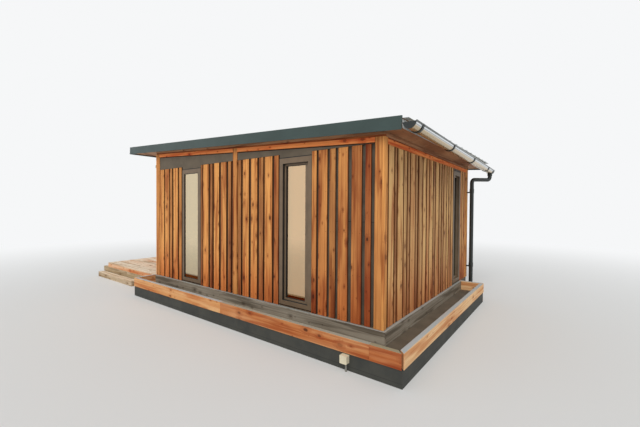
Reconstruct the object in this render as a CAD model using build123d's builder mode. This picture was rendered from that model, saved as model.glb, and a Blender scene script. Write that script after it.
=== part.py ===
"""A timber-clad tiny house with a single-pitch roof, planters, a deck and steps.

Millimetres. The origin is at ground level under the middle of the house body.
+X runs along the front wall to the right, the front faces -Y, and +Z is up.
The roof falls to the right, where a half-round gutter catches the rain.
"""
import os
from math import atan, cos, sin

from build123d import *

# House body, over the faces of the posts and rails
house_length = 5400.0
house_depth = 4070.0
half_length = house_length / 2
half_depth = house_depth / 2

# Heights: the floor over the ground, then each line over the one below it
floor_top = 370.0
sill_rise = 25.0
head_rise = 2200.0
head_cover = 57.0
rail_rise = 69.0
frieze_height = 58.0
window_sill = floor_top + sill_rise
window_head = floor_top + head_rise
board_top = window_head + head_cover
rail_top_low = board_top + rail_rise
soffit_low = rail_top_low + frieze_height
slope = 0.0508
pitch = atan(slope)

# Walls: timber frame panels, then boards, posts and rails fixed on them
wall_thickness = 140.0
trim_thickness = 35.0
board_thickness = 25.0
infill_thickness = 22.0
frieze_thickness = 20.0
rail_height = 80.0
post_wide = 133.0
post_narrow = 80.0
mid_post_width = 105.0
mid_post_x = -60.0
joint_gap = 3.0
panel_gap = 1.0
wall_outer_x = half_length - trim_thickness
wall_outer_y = half_depth - trim_thickness
wall_inner_x = wall_outer_x - wall_thickness
wall_inner_y = wall_outer_y - wall_thickness

# Floor and what carries it
floor_thickness = 160.0
floor_bottom = floor_top - floor_thickness
bearer_width = 100.0
bearer_count = 5
skirt_thickness = 20.0

# Windows: tall narrow units whose faces stand nearly flush with the boards
window_width = 615.0
window_setback = 8.0
frame_depth = 120.0
frame_bar = 65.0
fixed_frame_bar = 60.0
frame_head_bar = 80.0
frame_foot_bar = 62.0
sash_bar = 30.0
sash_depth = 75.0
sash_setback = 42.0
glass_thickness = 24.0
sash_glass_setback = 45.0
fixed_glass_setback = 42.0
fit_gap = 0.3
near_window_x = 1278.0
far_window_x = -1373.0
side_window_y = 1206.0
side_window_width = 500.0

# Entrance on the deck side: one glazed leaf beside a fixed light
entrance_width = 1500.0
entrance_y = 0.0
leaf_width = 940.0
leaf_bar = 95.0
leaf_foot_bar = 160.0
mullion_width = 62.0
threshold = 30.0
handle_height = 1050.0
handle_length = 130.0
handle_radius = 10.0
handle_reach = 48.0
handle_plate = (34.0, 9.0, 210.0)

# Roof
overhang_front = 110.0
overhang_back = 500.0
overhang_left = 995.0
overhang_right = 245.0
soffit_thickness = 12.0
roof_deck_thickness = 95.0
fascia_height = 143.0
fascia_thickness = 20.0
fascia_drop = 9.0
sheet_thickness = 3.0
sheet_lip = 72.0
rib_height = 18.0
rib_pitch = 333.0
rib_foot = 60.0
rib_crown = 30.0
eave_board_thickness = 22.0

# Half-round gutter along the low eave
gutter_radius = 75.0
gutter_wall = 3.0
gutter_rim_drop = 64.0
gutter_fall = 95.0
gutter_gap = 34.0
gutter_past_front = 30.0
gutter_past_back = 20.0
bead_radius = 9.0
cap_thickness = 4.0
bracket_width = 28.0
bracket_thickness = 5.0
bracket_count = 4
bracket_first = 217.0
bracket_last = 616.0
outlet_inset = 85.0
outlet_wall = 8.0
outlet_flange = 6.0
outlet_length = 45.0

# Downpipe with its swan neck
pipe_radius = 40.0
pipe_from_wall = 95.0
pipe_from_corner = 56.0
neck_drop = 98.0
neck_fall = 20.0
elbow_radius = 75.0
socket_wall = 5.0
socket_length = 60.0
upper_clip_drop = 295.0
lower_clip_height = 600.0
clip_width = 26.0
clip_thickness = 4.0
clip_stem = 16.0

# Planters along the front and the right side
planter_front = 449.0
planter_right = 438.0
planter_right_end = 1525.0
planter_board_height = 175.0
planter_board_thickness = 45.0
mitre_gap = 8.0
planter_base_setback = 12.0
planter_base_thickness = 24.0
planter_floor_thickness = 18.0
planter_inner_thickness = 45.0

# Deck and its steps beyond the left end
deck_length = 2520.0
deck_board_thickness = 28.0
deck_edge_thickness = 28.0
deck_joist_width = 45.0
deck_joist_count = 6
deck_beam_width = 45.0
deck_pad = 120.0
low_step_height = 122.0
beam_foot = 132.0
mid_step_height = 252.0
course_gap = 4.0
step_tread = 280.0
low_step_front = 137.0
low_step_depth = 300.0
low_step_length = 1890.0
low_step_past_deck = 260.0

# Supply box on the planter base and a wall lamp on the deck side
box_width = 92.0
box_height = 95.0
box_depth = 60.0
box_from_corner = 690.0
box_top_gap = 12.0
box_corner = 8.0
conduit_radius = 11.0
conduit_aside = 23.0
lamp_radius = 24.0
lamp_length = 56.0
lamp_over_boards = 63.0
lamp_reach = 72.0
lamp_arm_width = 16.0


def at_roof(level, x):
    """Height at x of a line that runs with the roof and is at level over the right wall."""
    return level + slope * (half_length - x)


# The roof's own plane, on the underside of the soffit over the right wall
roof_plane = Plane(
    origin=(half_length, 0, soffit_low),
    x_dir=(cos(pitch), 0, -sin(pitch)),
    z_dir=(sin(pitch), 0, cos(pitch)),
)
roof_left = -(house_length + overhang_left) / cos(pitch)
roof_right = overhang_right / cos(pitch)
roof_front = -half_depth - overhang_front
roof_back = half_depth + overhang_back
roof_deck_top = soffit_thickness + roof_deck_thickness
wall_top_low = soffit_low + soffit_thickness


def finish(part, label):
    """Name a finished piece and write its file."""
    part.label = label
    export_step(part, f"parts/{label}.step")


def block(x_span, y_span, z_span, mode=Mode.ADD):
    """Add a plain block between two corners to the piece that is being built."""
    size = [abs(b - a) for a, b in (x_span, y_span, z_span)]
    centre = [(a + b) / 2 for a, b in (x_span, y_span, z_span)]
    with Locations(tuple(centre)):
        Box(*size, mode=mode)


def around(centre, width):
    """The span of a given width around a centre."""
    return (centre - width / 2, centre + width / 2)


os.makedirs("parts", exist_ok=True)

# Ground bearers: squared timbers on the ground under the floor
with BuildPart() as ground_bearers:
    bearer_reach = wall_outer_y - bearer_width
    bearer_step = 2 * bearer_reach / (bearer_count - 1)
    for row in range(bearer_count):
        y = -bearer_reach + row * bearer_step
        block((-wall_outer_x, wall_outer_x), around(y, bearer_width), (0, floor_bottom))
finish(ground_bearers.part, "ground_bearers")

# Dark skirt boards that close the base all round, just under the feet of the boards
skirt_top = floor_top - joint_gap
skirt_outer_x = wall_outer_x + skirt_thickness
skirt_outer_y = wall_outer_y + skirt_thickness
with BuildPart() as base_skirt:
    end_span = (-wall_outer_y + panel_gap, wall_outer_y - panel_gap)
    for side in (-1, 1):
        y_span = sorted((side * wall_outer_y, side * skirt_outer_y))
        x_span = sorted((side * wall_outer_x, side * skirt_outer_x))
        block((-skirt_outer_x, skirt_outer_x), y_span, (0, skirt_top))
        block(x_span, end_span, (0, skirt_top))
finish(base_skirt.part, "base_skirt")

# Floor deck: the boarded panel that the walls stand on
with BuildPart() as floor_deck:
    block((-wall_outer_x, wall_outer_x), (-wall_outer_y, wall_outer_y), (floor_bottom, floor_top))
finish(floor_deck.part, "floor_deck")

wall_roof_cut = roof_plane.offset(soffit_thickness)
wall_top_high = at_roof(wall_top_low, -half_length) + soffit_thickness


def wall_panels(along, across, openings, sill):
    """Add a wall's panels: full-height ones beside the openings, short ones over and under them.

    along is the wall's span, across turns a span along the wall and one in height into a block,
    and openings are the centres and widths of its windows or its entrance.
    """
    start, end = along
    for centre, width in sorted(openings):
        left, right = around(centre, width + 2 * fit_gap)
        across((start, left), (floor_top, wall_top_high))
        inside = (left + panel_gap, right - panel_gap)
        across(inside, (window_head + fit_gap, wall_top_high))
        if sill > floor_top:
            across(inside, (floor_top, sill - fit_gap))
        start = right
    across((start, end), (floor_top, wall_top_high))
    split(bisect_by=wall_roof_cut, keep=Keep.BOTTOM)


def long_panel(side):
    """A way to add a panel of the front (-1) or back (1) wall."""
    y_span = sorted((side * wall_inner_y, side * wall_outer_y))
    return lambda x_span, z_span: block(x_span, y_span, z_span)


def end_panel(side):
    """A way to add a panel of the left (-1) or right (1) wall."""
    x_span = sorted((side * wall_inner_x, side * wall_outer_x))
    return lambda y_span, z_span: block(x_span, y_span, z_span)


long_span = (-wall_outer_x, wall_outer_x)
end_span = (-wall_inner_y, wall_inner_y)
long_windows = ((near_window_x, window_width), (far_window_x, window_width))

with BuildPart() as front_wall:
    wall_panels(long_span, long_panel(-1), long_windows, window_sill)
finish(front_wall.part, "front_wall")

with BuildPart() as back_wall:
    wall_panels(long_span, long_panel(1), long_windows, window_sill)
finish(back_wall.part, "back_wall")

with BuildPart() as right_wall:
    wall_panels(end_span, end_panel(1), ((side_window_y, side_window_width),), window_sill)
finish(right_wall.part, "right_wall")

with BuildPart() as left_wall:
    wall_panels(end_span, end_panel(-1), ((entrance_y, entrance_width),), floor_top)
finish(left_wall.part, "left_wall")

# Cladding: vertical boards, here as plain sheets of their thickness, bay by bay
rail_foot_low = rail_top_low - rail_height
eave_board_top = min(board_top, rail_foot_low) - joint_gap


def post_legs(side):
    """How far a corner post reaches along the long wall and along the end wall."""
    return (post_wide, post_narrow) if side < 0 else (post_narrow, post_wide)


def long_bays(side):
    """The four bays of the front or back wall, between its posts and windows."""
    corner = half_length - post_legs(side)[0] - joint_gap
    far_left, far_right = around(far_window_x, window_width + 2 * joint_gap)
    mid_left, mid_right = around(mid_post_x, mid_post_width + 2 * joint_gap)
    near_left, near_right = around(near_window_x, window_width + 2 * joint_gap)
    return ((-corner, far_left), (far_right, mid_left), (mid_right, near_left), (near_right, corner))


def long_stretches(side):
    """The two stretches of the front or back wall, each from a corner post to the mid post."""
    bays = long_bays(side)
    return ((bays[0][0], bays[1][1]), (bays[2][0], bays[3][1]))


def long_cladding(side):
    """The boards of the front or back wall, in the bays between its posts and windows."""
    y_span = sorted((side * wall_outer_y, side * (wall_outer_y + board_thickness)))
    for x_span in long_bays(side):
        block(x_span, y_span, (floor_top, board_top))


with BuildPart() as front_cladding:
    long_cladding(-1)
    split(bisect_by=roof_plane.offset(rail_foot_low - soffit_low), keep=Keep.BOTTOM)
finish(front_cladding.part, "front_cladding")

with BuildPart() as back_cladding:
    long_cladding(1)
    split(bisect_by=roof_plane.offset(rail_foot_low - soffit_low), keep=Keep.BOTTOM)
finish(back_cladding.part, "back_cladding")

side_window_span = around(side_window_y, side_window_width)
right_x = (wall_outer_x, wall_outer_x + board_thickness)
end_front = -half_depth + post_legs(-1)[1] + joint_gap
end_back = half_depth - post_legs(1)[1] - joint_gap
with BuildPart() as right_cladding:
    block(right_x, (end_front, side_window_span[0] - joint_gap), (floor_top, eave_board_top))
    block(right_x, (side_window_span[1] + joint_gap, end_back), (floor_top, eave_board_top))
finish(right_cladding.part, "right_cladding")

entrance_span = around(entrance_y, entrance_width)
left_x = (-wall_outer_x - board_thickness, -wall_outer_x)
with BuildPart() as left_cladding:
    block(left_x, (end_front, entrance_span[0] - joint_gap), (floor_top, board_top))
    block(left_x, (entrance_span[1] + joint_gap, end_back), (floor_top, board_top))
finish(left_cladding.part, "left_cladding")

# Corner posts: two boards round each corner, up to the soffit, the end wall's over the corner
post_span = (floor_top, wall_top_high)
with BuildPart() as corner_posts:
    for x_side in (-1, 1):
        for y_side in (-1, 1):
            long_leg, end_leg = post_legs(y_side)
            x_face = sorted((x_side * (half_length - long_leg), x_side * (wall_outer_x - panel_gap)))
            y_face = sorted((y_side * wall_outer_y, y_side * half_depth))
            x_return = sorted((x_side * wall_outer_x, x_side * half_length))
            y_return = sorted((y_side * (half_depth - end_leg), y_side * half_depth))
            block(x_face, y_face, post_span)
            block(x_return, y_return, post_span)
    split(bisect_by=roof_plane, keep=Keep.BOTTOM)
finish(corner_posts.part, "corner_posts")

# Mid posts of the two long walls, where the two halves of the body meet
with BuildPart() as mid_posts:
    for y_side in (-1, 1):
        y_span = sorted((y_side * wall_outer_y, y_side * half_depth))
        block(around(mid_post_x, mid_post_width), y_span, post_span)
    split(bisect_by=roof_plane, keep=Keep.BOTTOM)
finish(mid_posts.part, "mid_posts")


def sloping_strip(x_start, x_end, y_span, level_low, level_high):
    """Add a strip in a long wall's face whose edges run with the roof."""
    y_low, y_high = y_span
    with BuildSketch(Plane.XZ.offset(-y_high)) as strip:
        with BuildLine():
            Polyline(
                (x_start, at_roof(level_low, x_start)),
                (x_end, at_roof(level_low, x_end)),
                (x_end, at_roof(level_high, x_end)),
                (x_start, at_roof(level_high, x_start)),
                close=True,
            )
        make_face()
    extrude(strip.sketch, amount=y_high - y_low)


# Top rails: a timber band between the posts, level on the end walls
left_rail_foot = at_roof(rail_foot_low, -half_length)
left_rail_top = left_rail_foot + rail_height
with BuildPart() as top_rails:
    for y_side in (-1, 1):
        y_span = sorted((y_side * wall_outer_y, y_side * half_depth))
        for x_start, x_end in long_stretches(y_side):
            sloping_strip(x_start, x_end, y_span, rail_foot_low, rail_top_low)
    block((wall_outer_x, half_length), (end_front, end_back), (rail_foot_low, rail_top_low))
    block((-half_length, -wall_outer_x), (end_front, end_back), (left_rail_foot, left_rail_top))
finish(top_rails.part, "top_rails")

# Frieze: a dark strip between the rail and the soffit
frieze_x = wall_outer_x + frieze_thickness
with BuildPart() as frieze_boards:
    for y_side in (-1, 1):
        y_span = sorted((y_side * wall_outer_y, y_side * (wall_outer_y + frieze_thickness)))
        for x_start, x_end in long_stretches(y_side):
            sloping_strip(x_start, x_end, y_span, rail_top_low, soffit_low)
    block((wall_outer_x, frieze_x), (end_front, end_back), (rail_top_low, wall_top_low))
    block((-frieze_x, -wall_outer_x), (end_front, end_back), (left_rail_top, wall_top_high))
    split(bisect_by=roof_plane, keep=Keep.BOTTOM)
finish(frieze_boards.part, "frieze_boards")

# Infill panels: dark boards between the level board tops and the sloping rail, which run down
# to the heads of the windows and the entrance
infill_foot = board_top + joint_gap
head_foot = window_head + joint_gap
with BuildPart() as infill_panels:
    for y_side in (-1, 1):
        y_span = sorted((y_side * wall_outer_y, y_side * (wall_outer_y + infill_thickness)))
        for x_span in long_stretches(y_side):
            block(x_span, y_span, (infill_foot, wall_top_high))
        for centre in (near_window_x, far_window_x):
            block(around(centre, window_width), y_span, (head_foot, wall_top_high))
    x_span = (-wall_outer_x - infill_thickness, -wall_outer_x)
    block(x_span, (end_front, end_back), (infill_foot, left_rail_foot - joint_gap))
    block(x_span, entrance_span, (head_foot, left_rail_foot - joint_gap))
    block((wall_outer_x, wall_outer_x + infill_thickness), side_window_span, (head_foot, eave_board_top))
    split(bisect_by=roof_plane.offset(rail_foot_low - soffit_low), keep=Keep.BOTTOM)
finish(infill_panels.part, "infill_panels")


def ring_on(plane, width, height, bars, depth):
    """Add a rectangular frame on a plane, its face on the plane and its body behind.

    bars are the widths of its side, head and foot members.
    """
    side_bar, head_bar, foot_bar = bars
    with BuildSketch(plane) as ring:
        Rectangle(width, height)
        with Locations((0, (foot_bar - head_bar) / 2)):
            Rectangle(width - 2 * side_bar, height - head_bar - foot_bar, mode=Mode.SUBTRACT)
    extrude(ring.sketch, amount=-depth)


def pane_on(plane, width, height, depth, raised=0.0):
    """Add a flat pane on a plane, its face on the plane and its body behind."""
    with BuildSketch(plane) as pane:
        with Locations((0, raised)):
            Rectangle(width, height)
    extrude(pane.sketch, amount=-depth)


window_height = window_head - window_sill
window_mid = (window_head + window_sill) / 2
window_face_y = half_depth - window_setback
window_face_x = half_length - window_setback


def facing_front(x, setback=0.0):
    """A plane on the front windows' faces, looking out."""
    return Plane(origin=(x, -window_face_y + setback, window_mid), x_dir=(1, 0, 0), z_dir=(0, -1, 0))


def facing_back(x, setback=0.0):
    """A plane on the back windows' faces, looking out."""
    return Plane(origin=(x, window_face_y - setback, window_mid), x_dir=(-1, 0, 0), z_dir=(0, 1, 0))


def facing_right(y, setback=0.0):
    """A plane on the right window's face, looking out."""
    return Plane(origin=(window_face_x - setback, y, window_mid), x_dir=(0, 1, 0), z_dir=(1, 0, 0))


# The opening casements have a sash in their frame, and the fixed lights a wider frame
casements = (
    (facing_front, near_window_x, window_width),
    (facing_right, side_window_y, side_window_width),
)
fixed_lights = (
    (facing_front, far_window_x, window_width),
    (facing_back, near_window_x, window_width),
    (facing_back, far_window_x, window_width),
)
casement_bars = (frame_bar, frame_head_bar, frame_foot_bar)
fixed_bars = (fixed_frame_bar, frame_head_bar, frame_foot_bar)
inside_height = window_height - frame_head_bar - frame_foot_bar
inside_raised = (frame_foot_bar - frame_head_bar) / 2
sash_height = inside_height - 2 * fit_gap

with BuildPart() as window_frames:
    for facing, place, width in casements:
        ring_on(facing(place), width, window_height, casement_bars, frame_depth)
    for facing, place, width in fixed_lights:
        ring_on(facing(place), width, window_height, fixed_bars, frame_depth)
finish(window_frames.part, "window_frames")

with BuildPart() as window_sashes:
    for facing, place, width in casements:
        sash_plane = facing(place, sash_setback)
        sash_width = width - 2 * frame_bar - 2 * fit_gap
        pane_on(sash_plane, sash_width, sash_height, sash_depth, inside_raised)
        with BuildSketch(sash_plane) as light:
            with Locations((0, inside_raised)):
                Rectangle(sash_width - 2 * sash_bar, sash_height - 2 * sash_bar)
        extrude(light.sketch, amount=-sash_depth, mode=Mode.SUBTRACT)
finish(window_sashes.part, "window_sashes")

with BuildPart() as window_glass:
    for facing, place, width in casements:
        glass_plane = facing(place, sash_setback + sash_glass_setback)
        glass_width = width - 2 * frame_bar - 2 * fit_gap - 2 * sash_bar
        pane_on(glass_plane, glass_width, sash_height - 2 * sash_bar, glass_thickness, inside_raised)
    for facing, place, width in fixed_lights:
        glass_plane = facing(place, fixed_glass_setback)
        glass_width = width - 2 * fixed_frame_bar
        pane_on(glass_plane, glass_width, inside_height, glass_thickness, inside_raised)
finish(window_glass.part, "window_glass")

# Entrance: a frame with a mullion and a low threshold, one glazed leaf and a fixed light beside it
entrance_height = window_head - floor_top
entrance_mid = (window_head + floor_top) / 2
entrance_bars = (frame_bar, frame_head_bar, threshold)
opening_height = entrance_height - frame_head_bar - threshold
opening_raised = (threshold - frame_head_bar) / 2
leaf_height = opening_height - 2 * fit_gap
leaf_y = entrance_y + entrance_width / 2 - frame_bar - fit_gap - leaf_width / 2
mullion_y = leaf_y - leaf_width / 2 - fit_gap - mullion_width / 2
light_span = (entrance_y - entrance_width / 2 + frame_bar, mullion_y - mullion_width / 2)
light_width = light_span[1] - light_span[0]


def facing_left(y, setback=0.0):
    """A plane on the entrance's face, looking out over the deck."""
    return Plane(origin=(-window_face_x + setback, y, entrance_mid), x_dir=(0, -1, 0), z_dir=(-1, 0, 0))


with BuildPart() as entrance_frame:
    ring_on(facing_left(entrance_y), entrance_width, entrance_height, entrance_bars, frame_depth)
    pane_on(facing_left(mullion_y), mullion_width, opening_height, frame_depth, opening_raised)
finish(entrance_frame.part, "entrance_frame")

leaf_glass_width = leaf_width - 2 * leaf_bar
leaf_glass_height = leaf_height - leaf_bar - leaf_foot_bar
leaf_glass_raised = opening_raised + (leaf_foot_bar - leaf_bar) / 2
with BuildPart() as entrance_leaf:
    leaf_plane = facing_left(leaf_y, sash_setback)
    pane_on(leaf_plane, leaf_width, leaf_height, sash_depth, opening_raised)
    with BuildSketch(leaf_plane) as leaf_light:
        with Locations((0, leaf_glass_raised)):
            Rectangle(leaf_glass_width, leaf_glass_height)
    extrude(leaf_light.sketch, amount=-sash_depth, mode=Mode.SUBTRACT)
finish(entrance_leaf.part, "entrance_leaf")

with BuildPart() as entrance_glass:
    leaf_glass_plane = facing_left(leaf_y, sash_setback + sash_glass_setback)
    pane_on(leaf_glass_plane, leaf_glass_width, leaf_glass_height, glass_thickness, leaf_glass_raised)
    side_light_plane = facing_left(sum(light_span) / 2, fixed_glass_setback)
    pane_on(side_light_plane, light_width, opening_height, glass_thickness, opening_raised)
finish(entrance_glass.part, "entrance_glass")

# Handle: a plate on the leaf's stile, with a lever that points away from the mullion
handle_y = leaf_y - leaf_width / 2 + leaf_bar / 2
handle_z = floor_top + handle_height
leaf_face_x = -window_face_x + sash_setback
with BuildPart() as entrance_handle:
    plate_width, plate_depth, plate_height = handle_plate
    block(
        (leaf_face_x - plate_depth, leaf_face_x),
        around(handle_y, plate_width),
        around(handle_z, plate_height),
    )
    with BuildSketch(Plane(origin=(leaf_face_x, handle_y, handle_z), x_dir=(0, 1, 0), z_dir=(-1, 0, 0))):
        Circle(handle_radius)
    extrude(amount=handle_reach)
    grip_x = leaf_face_x - handle_reach + handle_radius
    with BuildSketch(Plane(origin=(grip_x, handle_y, handle_z), x_dir=(1, 0, 0), z_dir=(0, 1, 0))):
        Circle(handle_radius)
    extrude(amount=handle_length)
finish(entrance_handle.part, "entrance_handle")

# Roof deck: the insulated panel between the fascias
deck_start = roof_left + fascia_thickness
deck_end = roof_right - eave_board_thickness
deck_near = roof_front + fascia_thickness
deck_far = roof_back - fascia_thickness


def roof_board(height, x_span, y_span, thickness):
    """Add a board that lies with the roof, its foot at a height over the soffit's underside."""
    with BuildSketch(roof_plane.offset(height)) as outline:
        with Locations((sum(x_span) / 2, sum(y_span) / 2)):
            Rectangle(x_span[1] - x_span[0], y_span[1] - y_span[0])
    extrude(outline.sketch, amount=thickness)


with BuildPart() as roof_deck:
    roof_board(soffit_thickness, (deck_start, deck_end), (deck_near, deck_far), roof_deck_thickness)
finish(roof_deck.part, "roof_deck")

# Soffit: boards under the overhangs, one for each side of the walls
wall_left_in_roof = -(half_length + wall_outer_x) / cos(pitch)
wall_right_in_roof = (wall_outer_x - half_length) / cos(pitch) + soffit_thickness * slope
with BuildPart() as soffit_boards:
    roof_board(0, (deck_start, deck_end), (deck_near, -wall_outer_y), soffit_thickness)
    roof_board(0, (deck_start, deck_end), (wall_outer_y, deck_far), soffit_thickness)
    beside = (-wall_outer_y + panel_gap, wall_outer_y - panel_gap)
    roof_board(0, (deck_start, wall_left_in_roof - panel_gap), beside, soffit_thickness)
    roof_board(0, (wall_right_in_roof, deck_end), beside, soffit_thickness)
finish(soffit_boards.part, "soffit_boards")

# Fascias along the front, the back and the high left end
with BuildPart() as roof_fascias:
    roof_board(-fascia_drop, (roof_left, roof_right), (roof_front, deck_near), fascia_height)
    roof_board(-fascia_drop, (roof_left, roof_right), (deck_far, roof_back), fascia_height)
    between = (deck_near + panel_gap, deck_far - panel_gap)
    roof_board(-fascia_drop, (roof_left, deck_start), between, fascia_height)
finish(roof_fascias.part, "roof_fascias")

# Eave board: the timber behind the gutter
with BuildPart() as eave_board:
    roof_board(0, (deck_end, roof_right), (deck_near, deck_far), roof_deck_top)
finish(eave_board.part, "eave_board")

# Roof sheet: a folded metal sheet whose ribs run down the slope, with a lip over the gutter
sheet_width = deck_far - deck_near
rib_count = int(sheet_width // rib_pitch)
rib_margin = (sheet_width - (rib_count - 1) * rib_pitch) / 2
with BuildPart() as roof_sheet:
    sheet_edge = Plane(
        origin=roof_plane.from_local_coords((deck_start, 0, roof_deck_top)),
        x_dir=(0, 1, 0),
        z_dir=roof_plane.x_dir,
    )
    with BuildSketch(sheet_edge):
        with Locations(((roof_front + roof_back) / 2, sheet_thickness / 2)):
            Rectangle(sheet_width, sheet_thickness)
        for rib in range(rib_count):
            y = deck_near + rib_margin + rib * rib_pitch
            with BuildLine():
                Polyline(
                    (y - rib_foot / 2, sheet_thickness),
                    (y - rib_crown / 2, rib_height),
                    (y + rib_crown / 2, rib_height),
                    (y + rib_foot / 2, sheet_thickness),
                    close=True,
                )
            make_face()
    extrude(amount=roof_right - deck_start + sheet_lip)
finish(roof_sheet.part, "roof_sheet")

# Gutter: a half-round channel with a rolled bead, falling to its back end
gutter_start = roof_front - gutter_past_front
gutter_end = roof_back + gutter_past_back
gutter_length = gutter_end - gutter_start
gutter_axis_x = half_length + overhang_right + gutter_gap + gutter_radius
gutter_rim = at_roof(soffit_low + roof_deck_top, half_length + overhang_right) - gutter_rim_drop
gutter_run = Vector(0, gutter_length, -gutter_fall).normalized()


def gutter_plane(distance):
    """A plane across the gutter, looking along it, at a distance from its front end."""
    along = distance / gutter_length
    return Plane(
        origin=(gutter_axis_x, gutter_start + distance, gutter_rim - along * gutter_fall),
        x_dir=(-1, 0, 0),
        z_dir=gutter_run,
    )


def half_ring(outer, inner):
    """Sketch the lower half of a ring, open at the top."""
    Circle(outer)
    Circle(inner, mode=Mode.SUBTRACT)
    with Locations((0, outer)):
        Rectangle(2 * outer, 2 * outer, mode=Mode.SUBTRACT)


with BuildPart() as gutter:
    with BuildSketch(gutter_plane(0)):
        half_ring(gutter_radius, gutter_radius - gutter_wall)
        with Locations((-gutter_radius - bead_radius + gutter_wall, 0)):
            Circle(bead_radius)
    extrude(amount=gutter_length)
finish(gutter.part, "gutter")

# End caps: half discs against the ends of the channel
with BuildPart() as gutter_end_caps:
    cap_radius = gutter_radius + cap_thickness
    for start in (-cap_thickness, gutter_length):
        with BuildSketch(gutter_plane(start)):
            Circle(cap_radius)
            with Locations((0, cap_radius)):
                Rectangle(2 * cap_radius, 2 * cap_radius, mode=Mode.SUBTRACT)
        extrude(amount=cap_thickness)
finish(gutter_end_caps.part, "gutter_end_caps")

# Brackets: straps under the channel up to its bead, each with an arm to the eave board
bracket_pitch = (gutter_length - bracket_first - bracket_last) / (bracket_count - 1)
with BuildPart() as gutter_brackets:
    for bracket in range(bracket_count):
        distance = bracket_first + bracket_pitch * bracket - bracket_width / 2
        with BuildSketch(gutter_plane(distance)):
            half_ring(gutter_radius + bracket_thickness, gutter_radius)
            with Locations((gutter_radius + gutter_gap / 2 + bracket_thickness / 2, -bracket_thickness / 2)):
                Rectangle(gutter_gap + bracket_thickness, bracket_thickness)
        extrude(amount=bracket_width)
    add(gutter.part, mode=Mode.SUBTRACT)
    add(eave_board.part, mode=Mode.SUBTRACT)
finish(gutter_brackets.part, "gutter_brackets")

# Outlet: a flanged drop piece hung on the channel's back end, wider than the pipe in it
outlet_radius = pipe_radius + outlet_wall
outlet_distance = gutter_length - outlet_inset
outlet_top = gutter_plane(outlet_distance).origin - Vector(0, 0, gutter_radius)
outlet_reach = outlet_radius + outlet_flange
with BuildPart() as gutter_outlet:
    with BuildSketch(Plane(origin=outlet_top + Vector(0, 0, gutter_radius - gutter_wall))):
        Circle(outlet_radius)
    extrude(amount=gutter_wall - gutter_radius - outlet_length)
    with BuildSketch(gutter_plane(outlet_distance - outlet_reach)):
        half_ring(gutter_radius + outlet_flange, gutter_radius)
    extrude(amount=2 * outlet_reach)
    with BuildSketch(gutter_plane(outlet_distance - 2 * outlet_radius)):
        Circle(gutter_radius)
    extrude(amount=4 * outlet_radius, mode=Mode.SUBTRACT)
    with BuildSketch(gutter_plane(outlet_distance - outlet_reach)):
        with Locations((-gutter_radius, 0)):
            Circle(2 * bead_radius)
    extrude(amount=2 * outlet_reach, mode=Mode.SUBTRACT)
finish(gutter_outlet.part, "gutter_outlet")

# Downpipe: down from the outlet, back to the corner in a swan neck, then to the ground
outlet_foot = outlet_top.Z - outlet_length
neck_height = outlet_foot - neck_drop
pipe_x = half_length + pipe_from_wall
pipe_y = half_depth - pipe_from_corner
clip_heights = (lower_clip_height, neck_height - upper_clip_drop)
with BuildPart() as downpipe:
    with BuildLine():
        FilletPolyline(
            (outlet_top.X, outlet_top.Y, outlet_foot),
            (outlet_top.X, outlet_top.Y, neck_height + neck_fall / 2),
            (pipe_x, pipe_y, neck_height - neck_fall / 2),
            (pipe_x, pipe_y, 0),
            radius=elbow_radius,
        )
    with BuildSketch(Plane(origin=(outlet_top.X, outlet_top.Y, outlet_foot), z_dir=(0, 0, -1))):
        Circle(pipe_radius)
    sweep()
    for clip_z in clip_heights:
        with BuildSketch(Plane.XY.offset(clip_z + clip_width)):
            with Locations((pipe_x, pipe_y)):
                Circle(pipe_radius + socket_wall)
        extrude(amount=socket_length)
finish(downpipe.part, "downpipe")

# Pipe clips: a band round the pipe with a stem to the corner post
with BuildPart() as pipe_clips:
    for clip_z in clip_heights:
        with BuildSketch(Plane.XY.offset(clip_z)):
            with Locations((pipe_x, pipe_y)):
                Circle(pipe_radius + clip_thickness)
            with Locations(((half_length + pipe_x) / 2, pipe_y)):
                Rectangle(pipe_x - half_length, clip_stem)
            with Locations((pipe_x, pipe_y)):
                Circle(pipe_radius, mode=Mode.SUBTRACT)
        extrude(amount=clip_width)
finish(pipe_clips.part, "pipe_clips")

# Planters: timber boards over a dark base, mitred at their corners, empty troughs with a floor
planter_x = half_length + planter_right
planter_y = -half_depth - planter_front
planter_left = -half_length - planter_board_thickness
board_foot = floor_top - planter_board_height
board_span = (board_foot, floor_top)
inner_left = planter_left + planter_board_thickness
inner_right = planter_x - planter_board_thickness
inner_front = planter_y + planter_board_thickness
inner_end = planter_right_end - planter_board_thickness
mitres = (
    (planter_left, inner_left, planter_y, inner_front, 45),
    (planter_x, inner_right, planter_y, inner_front, -45),
    (planter_x, inner_right, planter_right_end, inner_end, 45),
)
with BuildPart() as planter_boards:
    block((planter_left, planter_x), (planter_y, inner_front), board_span)
    block((inner_right, planter_x), (planter_y, planter_right_end), board_span)
    block((planter_left, inner_left), (planter_y, -half_depth), board_span)
    block((skirt_outer_x, planter_x), (inner_end, planter_right_end), board_span)
    for outer_x, inner_x, outer_y, inner_y, turn in mitres:
        corner = ((outer_x + inner_x) / 2, (outer_y + inner_y) / 2, sum(board_span) / 2)
        with Locations(Location(corner, (0, 0, turn))):
            Box(2 * planter_board_thickness, mitre_gap, planter_board_height, mode=Mode.SUBTRACT)
finish(planter_boards.part, "planter_boards")

# Their inner boards stand against the skirt, with their top edges just in front of the boards' feet
trough_y = -skirt_outer_y - planter_inner_thickness
trough_x = skirt_outer_x + planter_inner_thickness
with BuildPart() as planter_wall_boards:
    block((-half_length, trough_x), (trough_y, -skirt_outer_y), (board_foot, skirt_top))
    block(
        (skirt_outer_x, trough_x),
        (-skirt_outer_y + panel_gap, inner_end),
        (board_foot, skirt_top),
    )
finish(planter_wall_boards.part, "planter_wall_boards")

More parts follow.
